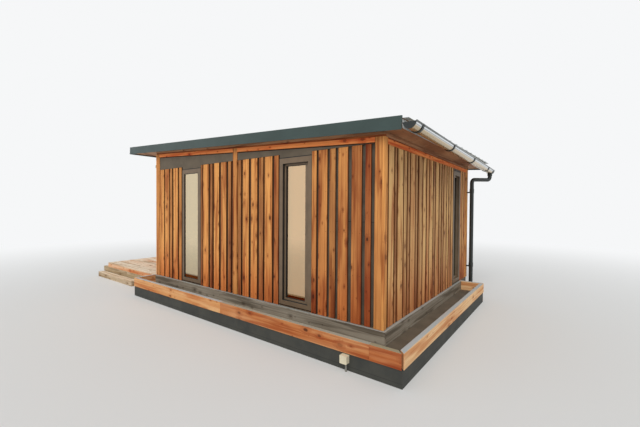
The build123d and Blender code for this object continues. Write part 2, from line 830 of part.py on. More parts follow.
base_x = planter_x - planter_base_setback
base_y = planter_y + planter_base_setback
base_left = planter_left + planter_base_setback
base_end = planter_right_end - planter_base_setback
inner_base_x = base_x - planter_base_thickness
inner_base_y = base_y + planter_base_thickness
with BuildPart() as planter_base:
    block((base_left, base_x), (base_y, inner_base_y), (0, board_foot))
    block((inner_base_x, base_x), (inner_base_y + panel_gap, base_end), (0, board_foot))
    block(
        (base_left, base_left + planter_base_thickness),
        (inner_base_y + panel_gap, -half_depth),
        (0, board_foot),
    )
    block(
        (skirt_outer_x, inner_base_x - panel_gap),
        (base_end - planter_base_thickness, base_end),
        (0, board_foot),
    )
finish(planter_base.part, "planter_base")

# The floor of the troughs, which also carries their inner boards
floor_span = (board_foot - planter_floor_thickness, board_foot)
with BuildPart() as planter_floor:
    block((base_left + planter_base_thickness, inner_base_x), (inner_base_y, -half_depth), floor_span)
    block(
        (half_length, inner_base_x),
        (-half_depth + panel_gap, base_end - planter_base_thickness),
        floor_span,
    )
finish(planter_floor.part, "planter_floor")

# Deck beyond the left end: boards on joists, joists on beams, beams on short pads
deck_right = -half_length
deck_left = deck_right - deck_length
deck_front = -half_depth
deck_back = half_depth
tread_left = deck_left - step_tread
joist_top = floor_top - deck_board_thickness
with BuildPart() as deck_boards:
    block((deck_left, deck_right), (deck_front, deck_back), (joist_top, floor_top))
finish(deck_boards.part, "deck_boards")

with BuildPart() as deck_edge_boards:
    edge_span = (mid_step_height + course_gap, joist_top)
    block((deck_left, deck_right), (deck_front, deck_front + deck_edge_thickness), edge_span)
    block((deck_left, deck_right), (deck_back - deck_edge_thickness, deck_back), edge_span)
    between = (
        deck_front + deck_edge_thickness + panel_gap,
        deck_back - deck_edge_thickness - panel_gap,
    )
    block((deck_left, deck_left + deck_edge_thickness), between, edge_span)
finish(deck_edge_boards.part, "deck_edge_boards")

joist_y = (deck_front + deck_edge_thickness, deck_back - deck_edge_thickness)
first_joist = deck_left + deck_edge_thickness + deck_joist_width / 2
last_joist = deck_right - deck_joist_width / 2
joist_step = (last_joist - first_joist) / (deck_joist_count - 1)
with BuildPart() as deck_joists:
    for row in range(deck_joist_count):
        x = first_joist + row * joist_step
        block(around(x, deck_joist_width), joist_y, (mid_step_height, joist_top))
finish(deck_joists.part, "deck_joists")

# The beams form a frame that shows under the deck's edge and carries the wide tread at its end
beam_span = (beam_foot, mid_step_height)
cross_beams = (tread_left, deck_left, (deck_left + deck_right) / 2, deck_right - deck_beam_width)
with BuildPart() as deck_beams:
    block((tread_left, deck_right), (deck_front, deck_front + deck_beam_width), beam_span)
    block((tread_left, deck_right), (deck_back - deck_beam_width, deck_back), beam_span)
    for x in cross_beams:
        block((x, x + deck_beam_width), (deck_front, deck_back), beam_span)
finish(deck_beams.part, "deck_beams")

# Steps: a wide tread inside the beams, and a low box step in front of the deck
low_front = deck_front - low_step_front
low_left = deck_left - low_step_past_deck
low_x = (low_left, low_left + low_step_length)
low_y = (low_front, low_front + low_step_depth)
with BuildPart() as deck_steps:
    block(
        (tread_left + deck_beam_width, deck_left),
        (deck_front + deck_beam_width, deck_back - deck_beam_width),
        (mid_step_height - deck_board_thickness, mid_step_height),
    )
    block(low_x, low_y, (0, low_step_height))
    block(
        (low_x[0] + deck_edge_thickness, low_x[1] - deck_edge_thickness),
        (low_y[0] + deck_edge_thickness, low_y[1] - deck_edge_thickness),
        (0, low_step_height - deck_board_thickness),
        mode=Mode.SUBTRACT,
    )
finish(deck_steps.part, "deck_steps")

with BuildPart() as deck_pads:
    pad_rows = (low_y[1] + deck_pad / 2, 0, deck_back - deck_pad)
    for x in cross_beams:
        pad_end = min(x + deck_pad, deck_right)
        for y in pad_rows:
            block((pad_end - deck_pad, pad_end), around(y, deck_pad), (0, beam_foot))
finish(deck_pads.part, "deck_pads")

# Supply box on the planter's base, with its conduit
box_x = planter_x - box_from_corner
box_y = base_y - box_depth
box_top = board_foot - box_top_gap
with BuildPart() as supply_box:
    block(around(box_x, box_width), (box_y, base_y), (box_top - box_height, box_top))
    fillet(supply_box.edges().filter_by(Axis.Y), radius=box_corner)
    with BuildSketch(Plane.XY):
        with Locations((box_x + conduit_aside, base_y - box_depth / 2)):
            Circle(conduit_radius)
    extrude(amount=box_top - box_height + box_corner)
finish(supply_box.part, "supply_box")

# Wall lamp: a small upright cylinder on a short arm, on the left side of the front corner post
lamp_x = -half_length - lamp_reach + lamp_radius
lamp_y = -half_depth + post_narrow / 2
lamp_foot = board_top + lamp_over_boards
with BuildPart() as wall_lamp:
    with BuildSketch(Plane.XY.offset(lamp_foot)):
        with Locations((lamp_x, lamp_y)):
            Circle(lamp_radius)
    extrude(amount=lamp_length)
    block(
        (lamp_x, -half_length),
        around(lamp_y, lamp_arm_width),
        around(lamp_foot + lamp_length / 2, lamp_arm_width),
    )
finish(wall_lamp.part, "wall_lamp")
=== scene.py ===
# %% [markdown]
# # Dressing a small timber house
#
# The frame of this house already exists as solids: walls, posts, windows, roof, gutter, planters
# and deck, each at its real size. This notebook gives it its looks. It stands a camera and soft
# light round the house, mixes a finish for every piece, and then models what a carpenter adds
# last: the upright boards, posts and rails, the planter and deck boards, the window frames with
# their rubber linings, and the gutter.

# %% Load the frame
import math
import random

import bpy
from mathutils import Matrix, Vector


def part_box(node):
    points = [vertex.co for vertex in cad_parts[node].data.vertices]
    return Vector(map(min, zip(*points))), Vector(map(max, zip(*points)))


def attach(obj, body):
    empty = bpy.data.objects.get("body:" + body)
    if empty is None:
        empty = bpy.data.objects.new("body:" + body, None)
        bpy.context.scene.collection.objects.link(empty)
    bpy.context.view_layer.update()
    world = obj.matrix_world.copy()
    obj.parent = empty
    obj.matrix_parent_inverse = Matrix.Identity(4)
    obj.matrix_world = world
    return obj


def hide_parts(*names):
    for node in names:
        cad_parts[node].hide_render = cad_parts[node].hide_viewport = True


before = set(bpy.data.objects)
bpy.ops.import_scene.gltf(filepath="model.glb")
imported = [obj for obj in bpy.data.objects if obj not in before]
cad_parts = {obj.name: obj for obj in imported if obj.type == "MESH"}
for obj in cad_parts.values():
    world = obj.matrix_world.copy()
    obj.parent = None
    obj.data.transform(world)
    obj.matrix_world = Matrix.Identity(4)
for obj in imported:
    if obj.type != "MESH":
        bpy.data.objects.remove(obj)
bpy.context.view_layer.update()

# %% [markdown]
# ## The camera
#
# A camera is easiest to place by its eye point and three angles. The eye is at standing height,
# in front of the near corner, and the lens is wide. Blender's camera looks along its own -Z with
# +Y up, so the three directions right, up and back become the columns of its turn.

# %% Stand the camera
EYE = Vector((4.435, -5.628, 1.838))
YAW = math.radians(-36.853)
PITCH = math.radians(-0.960)
ROLL = math.radians(0.364)
SENSOR_WIDTH = 36.0
LENS = 18.54

forward = Vector((math.sin(YAW) * math.cos(PITCH), math.cos(YAW) * math.cos(PITCH), math.sin(PITCH)))
level_right = Vector((math.cos(YAW), -math.sin(YAW), 0.0))
level_up = level_right.cross(forward)
right = math.cos(ROLL) * level_right + math.sin(ROLL) * level_up
up = math.cos(ROLL) * level_up - math.sin(ROLL) * level_right
turn = Matrix((right, up, -forward)).transposed()

bpy.ops.object.camera_add()
camera = bpy.context.object
camera.name = "standing_eye"
camera.matrix_world = Matrix.Translation(EYE) @ turn.to_4x4()
camera.data.sensor_width = SENSOR_WIDTH
camera.data.lens = LENS
bpy.context.scene.camera = camera
print("the camera stands at", tuple(EYE))

# %% [markdown]
# ## Colours
#
# A paint card names a colour by three numbers from 0 to 255. Shaders work in linear light, so
# each number is converted once, here, and every finish below can be written as on the card.

# %% Turn card colours into linear light
CARD_FULL = 255.0
STRAIGHT_UP_TO, STRAIGHT_SLOPE = 0.04045, 12.92
CURVE_OFFSET, CURVE_POWER = 0.055, 2.4


def card(red, green, blue):
    """The linear colour of a paint card."""
    channels = []
    for value in (red, green, blue):
        share = value / CARD_FULL
        straight = share / STRAIGHT_SLOPE
        curved = ((share + CURVE_OFFSET) / (1.0 + CURVE_OFFSET)) ** CURVE_POWER
        channels.append(straight if share <= STRAIGHT_UP_TO else curved)
    return (*channels, 1.0)


# %% [markdown]
# ## Helpers for finishes
#
# A procedural finish is a small chain of nodes. These helpers add one node and wire it up in a
# single call, so that a recipe further down reads as a list of steps.

# %% Start a finish
def start_finish(name):
    """A new material, its node tree and its main shader."""
    material = bpy.data.materials.new(name)
    material.use_nodes = True
    tree = material.node_tree
    return material, tree, tree.nodes["Principled BSDF"]


def feed(tree, socket, value):
    """Links a socket, or writes a plain value into it."""
    if isinstance(value, bpy.types.NodeSocket):
        tree.links.new(value, socket)
    else:
        socket.default_value = value


# %% Calculate with numbers and sockets
def calculate(tree, operation, *values, clamp=False):
    """One step of arithmetic on numbers or sockets."""
    step = tree.nodes.new("ShaderNodeMath")
    step.operation = operation
    step.use_clamp = clamp
    for index, value in enumerate(values):
        feed(tree, step.inputs[index], value)
    return step.outputs[0]


def times(tree, first, second):
    """The product of two numbers or sockets."""
    return calculate(tree, "MULTIPLY", first, second)


def limit(tree, value):
    """Keeps a number between 0 and 1."""
    return calculate(tree, "ADD", value, 0.0, clamp=True)


def how_far(tree, value, mark):
    """How far a number lies from a mark, either way."""
    return calculate(tree, "ABSOLUTE", calculate(tree, "SUBTRACT", value, mark))


def ease(tree, value, start, end):
    """0 before start, 1 after end, and a smooth rise between them."""
    step = tree.nodes.new("ShaderNodeMapRange")
    step.interpolation_type = "SMOOTHSTEP"
    feed(tree, step.inputs["Value"], value)
    feed(tree, step.inputs["From Min"], start)
    feed(tree, step.inputs["From Max"], end)
    return step.outputs[0]


# %% Mix colours and set plain values
def blend(tree, share, first, second, mode="MIX"):
    """A mix of two colours."""
    step = tree.nodes.new("ShaderNodeMix")
    step.data_type = "RGBA"
    step.blend_type = mode
    feed(tree, step.inputs[0], share)
    feed(tree, step.inputs[6], first)
    feed(tree, step.inputs[7], second)
    return step.outputs[2]


def settle(shader, settings):
    """Writes plain values into the sockets of a shader, each by its name."""
    for socket, value in settings.items():
        shader.inputs[socket].default_value = value


# %% Make places and take them apart
def point(tree, x, y, z=0.0):
    """A place made from three numbers."""
    step = tree.nodes.new("ShaderNodeCombineXYZ")
    for index, value in enumerate((x, y, z)):
        feed(tree, step.inputs[index], value)
    return step.outputs[0]


def parts(tree, place):
    """The x, y and z of a place."""
    split = tree.nodes.new("ShaderNodeSeparateXYZ")
    feed(tree, split.inputs[0], place)
    return split.outputs


def own_place(tree):
    """Where a point lies in the coordinates of its object, which here are those of the house."""
    return tree.nodes.new("ShaderNodeTexCoord").outputs["Object"]


def house_place(tree):
    """The x, y and z of a point of the house, in metres."""
    return parts(tree, own_place(tree))


# %% Draw clouds and fine relief
def cloud(tree, place, scale, detail=2.0, roughness=0.5):
    """A soft random value between 0 and 1."""
    step = tree.nodes.new("ShaderNodeTexNoise")
    feed(tree, step.inputs["Vector"], place)
    settle(step, {"Scale": scale, "Detail": detail, "Roughness": roughness})
    return step.outputs["Fac"]


def roughen(tree, shader, height, strength, depth):
    """Gives a surface fine relief without changing its shape."""
    bump = tree.nodes.new("ShaderNodeBump")
    settle(bump, {"Strength": strength, "Distance": depth})
    feed(tree, bump.inputs["Height"], height)
    feed(tree, shader.inputs["Normal"], bump.outputs[0])


# %% Tell what is looked at
def glimpsed(tree):
    """1 where the camera, metal or glass looks at a thing, and 0 for the light that it sheds."""
    ray = tree.nodes.new("ShaderNodeLightPath").outputs
    seen = calculate(tree, "MAXIMUM", ray["Is Camera Ray"], ray["Is Glossy Ray"])
    return calculate(tree, "MAXIMUM", seen, ray["Is Transmission Ray"])


def show_mixed(tree, share, first, second, output):
    """Mixes two shaders and sends them to the output of a tree."""
    mixed = tree.nodes.new("ShaderNodeMixShader")
    feed(tree, mixed.inputs[0], share)
    feed(tree, mixed.inputs[1], first.outputs[0])
    feed(tree, mixed.inputs[2], second.outputs[0])
    feed(tree, tree.nodes[output].inputs["Surface"], mixed.outputs[0])


# %% [markdown]
# ## The studio
#
# A house is lit softly when most of the light comes from all round and a wide, gentle sun gives
# the shapes their shade. The ground is a large plain disc. What the camera, the metal and the
# glass see round the house is nearly white, which adds no light to the house itself.

# %% Fill the studio with daylight
BACKDROP = card(246, 247, 248)
AMBIENT = card(228, 233, 240)
AMBIENT_STRENGTH = 0.62

bpy.context.scene.view_settings.view_transform = "Standard"

studio = bpy.data.worlds.new("studio")
studio.use_nodes = True
bpy.context.scene.world = studio
sky = studio.node_tree
ambient = sky.nodes["Background"]
settle(ambient, {"Color": AMBIENT, "Strength": AMBIENT_STRENGTH})
backdrop = sky.nodes.new("ShaderNodeBackground")
settle(backdrop, {"Color": BACKDROP})
show_mixed(sky, glimpsed(sky), ambient, backdrop, "World Output")
print("the daylight has strength", AMBIENT_STRENGTH)

# %% Hang a wide sun
SUN_STRENGTH = 1.75
SUN_WIDTH = math.radians(38)
SUN_HEIGHT = math.radians(44)
SUN_SIDE = math.radians(26)
SUN_COLOUR = (1.0, 0.965, 0.91)
SUN_STAND = (0.0, 0.0, 8.0)

bpy.ops.object.light_add(type="SUN", location=SUN_STAND)
sun = bpy.context.object
sun.name = "wide_sun"
sun.data.energy = SUN_STRENGTH
sun.data.angle = SUN_WIDTH
sun.data.color = SUN_COLOUR
sun_from = Vector((
    math.cos(SUN_HEIGHT) * math.sin(SUN_SIDE),
    -math.cos(SUN_HEIGHT) * math.cos(SUN_SIDE),
    math.sin(SUN_HEIGHT),
))
sun.rotation_euler = sun_from.to_track_quat("Z", "Y").to_euler()
print("the sun stands", round(math.degrees(SUN_HEIGHT)), "degrees above the ground")

# %% [markdown]
# ## The ground
#
# The house needs something to stand on, or its feet look cut off. A disc with soft daylight on
# it is enough, and it keeps the shadow of the house. Further out it fades into the backdrop, as
# ground does in haze, so that no hard horizon cuts through the picture or the window glass.

# %% Lay the ground
GROUND_RADIUS, GROUND_CORNERS = 90.0, 96
GROUND_COLOUR = card(226, 226, 224)
GROUND_ROUGHNESS = 0.9

bpy.ops.object.select_all(action="DESELECT")
bpy.ops.mesh.primitive_circle_add(vertices=GROUND_CORNERS, radius=GROUND_RADIUS, fill_type="NGON")
ground = bpy.context.object
ground.name = "ground"
ground_finish, ground_tree, ground_shader = start_finish("pale_ground")
settle(ground_shader, {"Base Color": GROUND_COLOUR, "Roughness": GROUND_ROUGHNESS})
ground.data.materials.append(ground_finish)

# %% Let the ground fade into the backdrop
HAZE_START, HAZE_END = 5.0, 16.0

squares = [calculate(ground_tree, "POWER", side, 2.0) for side in house_place(ground_tree)[:2]]
from_house = calculate(ground_tree, "SQRT", calculate(ground_tree, "ADD", *squares))
haze = ground_tree.nodes.new("ShaderNodeEmission")
settle(haze, {"Color": BACKDROP})
far_off = ease(ground_tree, from_house, HAZE_START, HAZE_END)
fade = times(ground_tree, glimpsed(ground_tree), far_off)
show_mixed(ground_tree, fade, ground_shader, haze, "Material Output")
print("the ground fades between", HAZE_START, "and", HAZE_END, "m from the house")

# %% [markdown]
# ## Wood
#
# All the timber is sawn from the same kind of tree and left without paint. A sawn face shows
# five things: fine fibres along the board, wider bands of early and late growth, knots that the
# bands swerve round, long reddish streaks, and a slow drift of colour. Knots come in all sizes,
# and most are faint. Each board also has a tone, from pale honey to dark, and a warmth, which says
# whether its dark side is brown or rust red. One recipe draws all of this from two numbers, the
# distance across and the distance along the board, so it works for uprights and for level boards.

# %% Draw the knots
KNOT_CELL = 0.20
KNOT_ACROSS, KNOT_ALONG = 1.45, 0.80
KNOT_SHARE = 0.62
KNOT_SMALL, KNOT_LARGE, KNOT_RARITY = 0.006, 0.038, 1.8
KNOT_FAINTEST, KNOT_RANGE = 0.30, 0.62
KNOT_CORE, KNOT_GLOW = 0.55, 3.0
KNOT_PUSH = -0.55
RAGGED_SCALE, RAGGED_LEAST, RAGGED_RANGE = 55.0, 0.55, 0.9


def draw_knots(tree, across, along):
    """The share of knot at a point, the glow round it, and how far it pushes the grain aside."""
    cells = tree.nodes.new("ShaderNodeTexVoronoi")
    cells.voronoi_dimensions = "2D"
    settle(cells, {"Scale": 1.0 / KNOT_CELL})
    flat = point(tree, times(tree, across, KNOT_ACROSS), times(tree, along, KNOT_ALONG))
    feed(tree, cells.inputs["Vector"], flat)
    ragged = cloud(tree, point(tree, across, along), RAGGED_SCALE, 1.0)
    uneven = calculate(tree, "MULTIPLY_ADD", ragged, RAGGED_RANGE, RAGGED_LEAST)
    away = times(tree, times(tree, cells.outputs["Distance"], KNOT_CELL), uneven)
    chance = tree.nodes.new("ShaderNodeSeparateColor")
    feed(tree, chance.inputs[0], cells.outputs["Color"])
    present = calculate(tree, "LESS_THAN", chance.outputs[0], KNOT_SHARE)
    size = calculate(tree, "POWER", chance.outputs[1], KNOT_RARITY)
    spread = calculate(tree, "MULTIPLY_ADD", size, KNOT_LARGE - KNOT_SMALL, KNOT_SMALL)
    darkness = calculate(tree, "MULTIPLY_ADD", chance.outputs[2], KNOT_RANGE, KNOT_FAINTEST)
    inside = ease(tree, away, spread, times(tree, spread, KNOT_CORE))
    near = ease(tree, away, times(tree, spread, KNOT_GLOW), spread)
    heart = calculate(tree, "DIVIDE", parts(tree, cells.outputs["Position"])[0], KNOT_ACROSS)
    sideways = calculate(tree, "SUBTRACT", across, heart)
    knot = times(tree, times(tree, inside, present), darkness)
    glow = times(tree, near, present)
    push = times(tree, times(tree, sideways, glow), KNOT_PUSH)
    return knot, glow, push


# %% Draw the grain out along the board
DRIFT = (5.0, 1.0, 1.1, 2.0)
BANDS = (46.0, 0.5, 1.0, 1.0)
STREAKS = (13.0, 0.8, 1.0, 3.0)
FIBRES = (420.0, 7.0, 1.0, 2.0)


def draw_out_cloud(tree, across, along, pitch, stretch, scale, detail):
    """A cloud that changes at one pitch across the board and at another, its stretch, along it."""
    place = point(tree, times(tree, across, pitch), times(tree, along, stretch))
    return cloud(tree, place, scale, detail)


def darken(tree, mask, share, colour, dark):
    """Darkens a colour where a mask is, by a share of a darker one."""
    return blend(tree, times(tree, mask, share), colour, dark, "MULTIPLY")


# %% Write the recipe for a sawn face
CLOUD_MIDDLE = 0.5
DRIFT_REACH = 1.1
BAND_EDGES, BAND_SHARE = (0.44, 0.62), 0.32
STREAK_EDGES, STREAK_SHARE = (0.50, 0.64), 0.62
FIBRE_EDGES, FIBRE_SHARE = (0.45, 0.75), 0.20
GLOW_SHARE = 0.38
SAWN_ROUGHNESS, FIBRE_ROUGHNESS = 0.62, 0.18
SAWN_SHEEN = 0.2
BAND_RELIEF = 0.6
SAWN_RELIEF = (0.35, 0.0012)


def sawn_face(tree, shader, across, along, tone, pale, dark, knot_colour):
    """Wires the colour, gloss and relief of sawn wood, and gives back the colour."""
    knot, glow, push = draw_knots(tree, across, along)
    swerved = calculate(tree, "ADD", across, push)
    drift = calculate(tree, "SUBTRACT", draw_out_cloud(tree, across, along, *DRIFT), CLOUD_MIDDLE)
    depth = limit(tree, calculate(tree, "MULTIPLY_ADD", drift, DRIFT_REACH, tone))
    band = draw_out_cloud(tree, swerved, along, *BANDS)
    streak = draw_out_cloud(tree, swerved, along, *STREAKS)
    fibre = draw_out_cloud(tree, swerved, along, *FIBRES)
    colour = blend(tree, depth, pale, dark)
    colour = darken(tree, ease(tree, band, *BAND_EDGES), BAND_SHARE, colour, dark)
    colour = darken(tree, ease(tree, streak, *STREAK_EDGES), STREAK_SHARE, colour, dark)
    colour = darken(tree, ease(tree, fibre, *FIBRE_EDGES), FIBRE_SHARE, colour, knot_colour)
    colour = darken(tree, glow, GLOW_SHARE, colour, dark)
    gloss = calculate(tree, "MULTIPLY_ADD", fibre, FIBRE_ROUGHNESS, SAWN_ROUGHNESS)
    feed(tree, shader.inputs["Roughness"], gloss)
    settle(shader, {"Specular IOR Level": SAWN_SHEEN})
    relief = calculate(tree, "ADD", fibre, times(tree, band, BAND_RELIEF))
    roughen(tree, shader, calculate(tree, "ADD", relief, knot), *SAWN_RELIEF)
    return blend(tree, knot, colour, knot_colour)


# %% [markdown]
# Where do the two numbers come from? A board that is modelled here carries them in an attribute
# called grain, which is written from its own coordinates, together with its tone, its warmth and
# a mark on its edges. A plain solid of the frame has no such attributes, so its numbers are
# worked out from its place in the house.

# %% Find across and along for each kind of piece
def attribute(tree, name, output="Fac"):
    """What one attribute of the mesh says, as a number or as a place."""
    reader = tree.nodes.new("ShaderNodeAttribute")
    reader.attribute_name = name
    return reader.outputs[output]


def grain_of_board(tree):
    """Across, along, tone, warmth and edge of a modelled board, from its attributes."""
    across, through, along = parts(tree, attribute(tree, "grain", "Vector"))
    marks = [attribute(tree, name) for name in ("tone", "warmth", "edge")]
    return calculate(tree, "ADD", across, through), along, *marks


def grain_of_level(tree):
    """Across and along of a board that lies along a wall."""
    x, y, z = house_place(tree)
    return z, calculate(tree, "ADD", x, y)


# %% [markdown]
# The upright boards are larch. Rain splashes the lower part of the wall and reddens it. The sawn
# sides, which look into the gaps, and the screw heads are given a near-black colour: on the sides
# this is painted shade for the gaps. The boards of the right wall get the same recipe with paler
# colours, which paint the sunlight that falls on that wall.

# %% Mix the upright boards
LARCH = (card(240, 170, 96), card(150, 98, 60), card(158, 80, 40))
LARCH_KNOT = card(70, 34, 16)
# The sides of the boards and the screw heads share a near-black colour: on the sides it is painted
# shade in the gaps.
SIDE_SHADE_AND_SCREWS = card(70, 36, 16)
# A paler copy of the larch for the right wall: the paleness is painted sunlight.
SUNLIT_LARCH = (card(238, 194, 130), card(160, 112, 72), card(186, 112, 62))
SUNLIT_SIDE_SHADE_AND_SCREWS = card(100, 54, 26)
SPLASH_START, SPLASH_END, SPLASH_SHARE = 1.25, 0.35, 0.55
SPLASH_COLOUR = card(226, 150, 112)
SIDE_SHARE = 0.90


def mix_cladding(name, wood, side):
    """Upright boards: sawn faces with a redder foot, sides in painted shade, dark screw heads. wood
    is pale, brown and rust.
    """
    finish, tree, shader = start_finish(name)
    across, along, tone, warmth, edge = grain_of_board(tree)
    pale, brown, rust = wood
    dark = blend(tree, warmth, brown, rust)
    face = sawn_face(tree, shader, across, along, tone, pale, dark, LARCH_KNOT)
    splash = ease(tree, house_place(tree)[2], SPLASH_START, SPLASH_END)
    splashed = darken(tree, splash, SPLASH_SHARE, face, SPLASH_COLOUR)
    colour = blend(tree, times(tree, edge, SIDE_SHARE), splashed, side)
    feed(tree, shader.inputs["Base Color"], colour)
    return finish


cladding_finish = mix_cladding("larch_boards", LARCH, SIDE_SHADE_AND_SCREWS)
sunlit_finish = mix_cladding("larch_boards_painted_sunlight", SUNLIT_LARCH, SUNLIT_SIDE_SHADE_AND_SCREWS)
print("two finishes for upright boards:", cladding_finish.name, "and", sunlit_finish.name)

# %% [markdown]
# The other timber keeps its edges in sight, and edges weather first. They turn a bluish or a
# mossy grey in patches, most of all on the planters, where rain stays longest. So this recipe
# blends a second pair of colours over the marked edges, with a cloud that leaves some wood bare.

# %% Mix the modelled timber
WORN = (9.0, 1.0, 2.2, 3.0)
WORN_RANGE = 0.5
TRIM_EDGE, GREYED_EDGE, PLANTER_EDGE = 0.4, 0.5, 0.95
LARCH_EDGES = (LARCH[0], LARCH[2])
GREY_EDGES = (card(182, 190, 194), card(150, 142, 112))
DECK_EDGES = (card(190, 172, 146), card(226, 170, 116))
RAIL_WOOD = (card(255, 158, 88), card(214, 126, 72), card(206, 108, 56))
PLANTER_WOOD = (card(246, 206, 156), card(218, 156, 94), card(180, 98, 50))
GREYED_WOOD = (card(176, 168, 152), card(126, 116, 100), card(120, 100, 80))
DECK_WOOD = (card(248, 232, 208), card(170, 152, 120), card(228, 160, 98))
GREYED_KNOT = card(70, 62, 54)
DECK_KNOT = card(110, 76, 48)


def mix_timber(name, wood, knot, edges, edge_share):
    """Timber with weathered edges. wood is pale, brown and rust, edges are cool and warm."""
    finish, tree, shader = start_finish(name)
    across, along, tone, warmth, edge = grain_of_board(tree)
    pale, brown, rust = wood
    dark = blend(tree, warmth, brown, rust)
    face = sawn_face(tree, shader, across, along, tone, pale, dark, knot)
    worn = draw_out_cloud(tree, across, along, *WORN)
    patchy = calculate(tree, "MULTIPLY_ADD", worn, WORN_RANGE, edge_share - WORN_RANGE / 2)
    weathered = blend(tree, warmth, *edges)
    colour = blend(tree, limit(tree, times(tree, edge, patchy)), face, weathered)
    feed(tree, shader.inputs["Base Color"], colour)
    return finish


trim_finish = mix_timber("larch_trim", LARCH, LARCH_KNOT, LARCH_EDGES, TRIM_EDGE)
rail_finish = mix_timber("larch_rails", RAIL_WOOD, LARCH_KNOT, LARCH_EDGES, TRIM_EDGE)
planter_finish = mix_timber("planter_timber", PLANTER_WOOD, LARCH_KNOT, GREY_EDGES, PLANTER_EDGE)
grey_finish = mix_timber("greyed_timber", GREYED_WOOD, GREYED_KNOT, GREY_EDGES, GREYED_EDGE)
deck_finish = mix_timber("deck_timber", DECK_WOOD, DECK_KNOT, DECK_EDGES, GREYED_EDGE)

# %% [markdown]
# Some solids of the frame are seen as they stand: the stained boards under the roof and the rough
# timbers below the floor. They have no attributes, so their grain follows the house.

# %% Mix the timber of the frame
PLY_WOOD = (card(204, 158, 120), card(160, 118, 84), card(70, 44, 28))
ROUGH_WOOD = (card(190, 160, 118), card(140, 106, 70), card(84, 54, 32))
PLY_TONE, ROUGH_TONE = 0.45, 0.5


def mix_solid_timber(name, tone, wood):
    """Timber of the frame that is seen as it stands. wood is pale, dark and the knots."""
    finish, tree, shader = start_finish(name)
    face = sawn_face(tree, shader, *grain_of_level(tree), tone, *wood)
    feed(tree, shader.inputs["Base Color"], face)
    return finish


ply_finish = mix_solid_timber("stained_ply", PLY_TONE, PLY_WOOD)
rough_finish = mix_solid_timber("rough_timber", ROUGH_TONE, ROUGH_WOOD)
print("seven finishes for timber, the last of them", rough_finish.name)

# %% [markdown]
# ## Panels, paint, metal, glass
#
# Behind the boards lies a dark fibre panel, which shows in the gaps and above the boards, with a
# level joint at chest height. The windows are painted metal, the gutter is bare zinc, and the
# pipe, brackets and roof edge are dark painted steel.

# %% Mottle two near colours
PATCH_DETAIL, PATCH_ROUGHNESS = 4.0, 0.6
PATCH_EDGES = (0.3, 0.7)


def mottle(tree, first, second, scale):
    """A soft patchy mix of two near colours, and the patches themselves."""
    patches = cloud(tree, own_place(tree), scale, PATCH_DETAIL, PATCH_ROUGHNESS)
    return blend(tree, ease(tree, patches, *PATCH_EDGES), first, second), patches


# %% Mix the fibre panels
PANEL_GREY, PANEL_LIGHT = card(88, 78, 64), card(104, 92, 76)
BASE_GREY, BASE_LIGHT = card(48, 50, 47), card(64, 64, 58)
PANEL_JOINT = card(30, 28, 25)
PANEL_JOINT_HEIGHT, BASE_SEAM_HEIGHT = 1.665, 0.05
PANEL_JOINT_HALF = 0.004
PANEL_PATCH = 3.5
PANEL_RELIEF = (0.2, 0.001)


def mix_dark_board(name, first, second, seam_height):
    """Through-coloured fibre panel, with a level seam."""
    finish, tree, shader = start_finish(name)
    colour, patches = mottle(tree, first, second, PANEL_PATCH)
    from_seam = how_far(tree, house_place(tree)[2], seam_height)
    seam = calculate(tree, "LESS_THAN", from_seam, PANEL_JOINT_HALF / 2)
    feed(tree, shader.inputs["Base Color"], blend(tree, seam, colour, PANEL_JOINT))
    settle(shader, {"Roughness": 0.78})
    roughen(tree, shader, patches, *PANEL_RELIEF)
    return finish


panel_finish = mix_dark_board("dark_panel", PANEL_GREY, PANEL_LIGHT, PANEL_JOINT_HEIGHT)
base_finish = mix_dark_board("base_panel", BASE_GREY, BASE_LIGHT, BASE_SEAM_HEIGHT)

# %% Mix the wall panels
# Brown in the gaps towards the left, grey towards the right: the brown is painted shade in the gaps.
SHADED_GAP_BROWN, GAP_GREY = card(56, 34, 18), card(66, 56, 44)
GAP_TURN, GAP_FADE = 1.4, 0.6
ROOM_WALL, ROOM_PLY = card(214, 204, 186), card(198, 178, 146)
WALL_SKIN = 0.02


def mix_wall():
    """A wall panel: dark outside, with painted shade in its gaps towards the left and a level joint,
    and pale ply inside the room.
    """
    finish, tree, shader = start_finish("wall_panel")
    x, y, z = house_place(tree)
    wall_low, wall_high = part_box("front_wall")
    outer_y = calculate(tree, "GREATER_THAN", how_far(tree, y, 0.0), -wall_low.y - WALL_SKIN)
    outer_x = calculate(tree, "GREATER_THAN", how_far(tree, x, 0.0), wall_high.x - WALL_SKIN)
    grey, patches = mottle(tree, GAP_GREY, PANEL_GREY, PANEL_PATCH)
    dark = blend(tree, ease(tree, x, GAP_TURN, GAP_TURN + GAP_FADE), SHADED_GAP_BROWN, grey)
    from_joint = how_far(tree, z, PANEL_JOINT_HEIGHT)
    joint = calculate(tree, "LESS_THAN", from_joint, PANEL_JOINT_HALF)
    jointed = blend(tree, joint, dark, PANEL_JOINT)
    pale = blend(tree, ease(tree, patches, *PATCH_EDGES), ROOM_WALL, ROOM_PLY)
    outside = calculate(tree, "MAXIMUM", outer_x, outer_y)
    feed(tree, shader.inputs["Base Color"], blend(tree, outside, pale, jointed))
    settle(shader, {"Roughness": 0.75})
    return finish


wall_finish = mix_wall()

# %% Mix the paints, the sheet and the rubber
def mix_paint(name, first, second, scale, rough, metallic=0.0):
    """Paint, metal or rubber with soft clouds in its colour and gloss."""
    finish, tree, shader = start_finish(name)
    colour, patches = mottle(tree, first, second, scale)
    feed(tree, shader.inputs["Base Color"], colour)
    gloss = calculate(tree, "MULTIPLY_ADD", patches, rough[1] - rough[0], rough[0])
    feed(tree, shader.inputs["Roughness"], gloss)
    settle(shader, {"Metallic": metallic})
    return finish


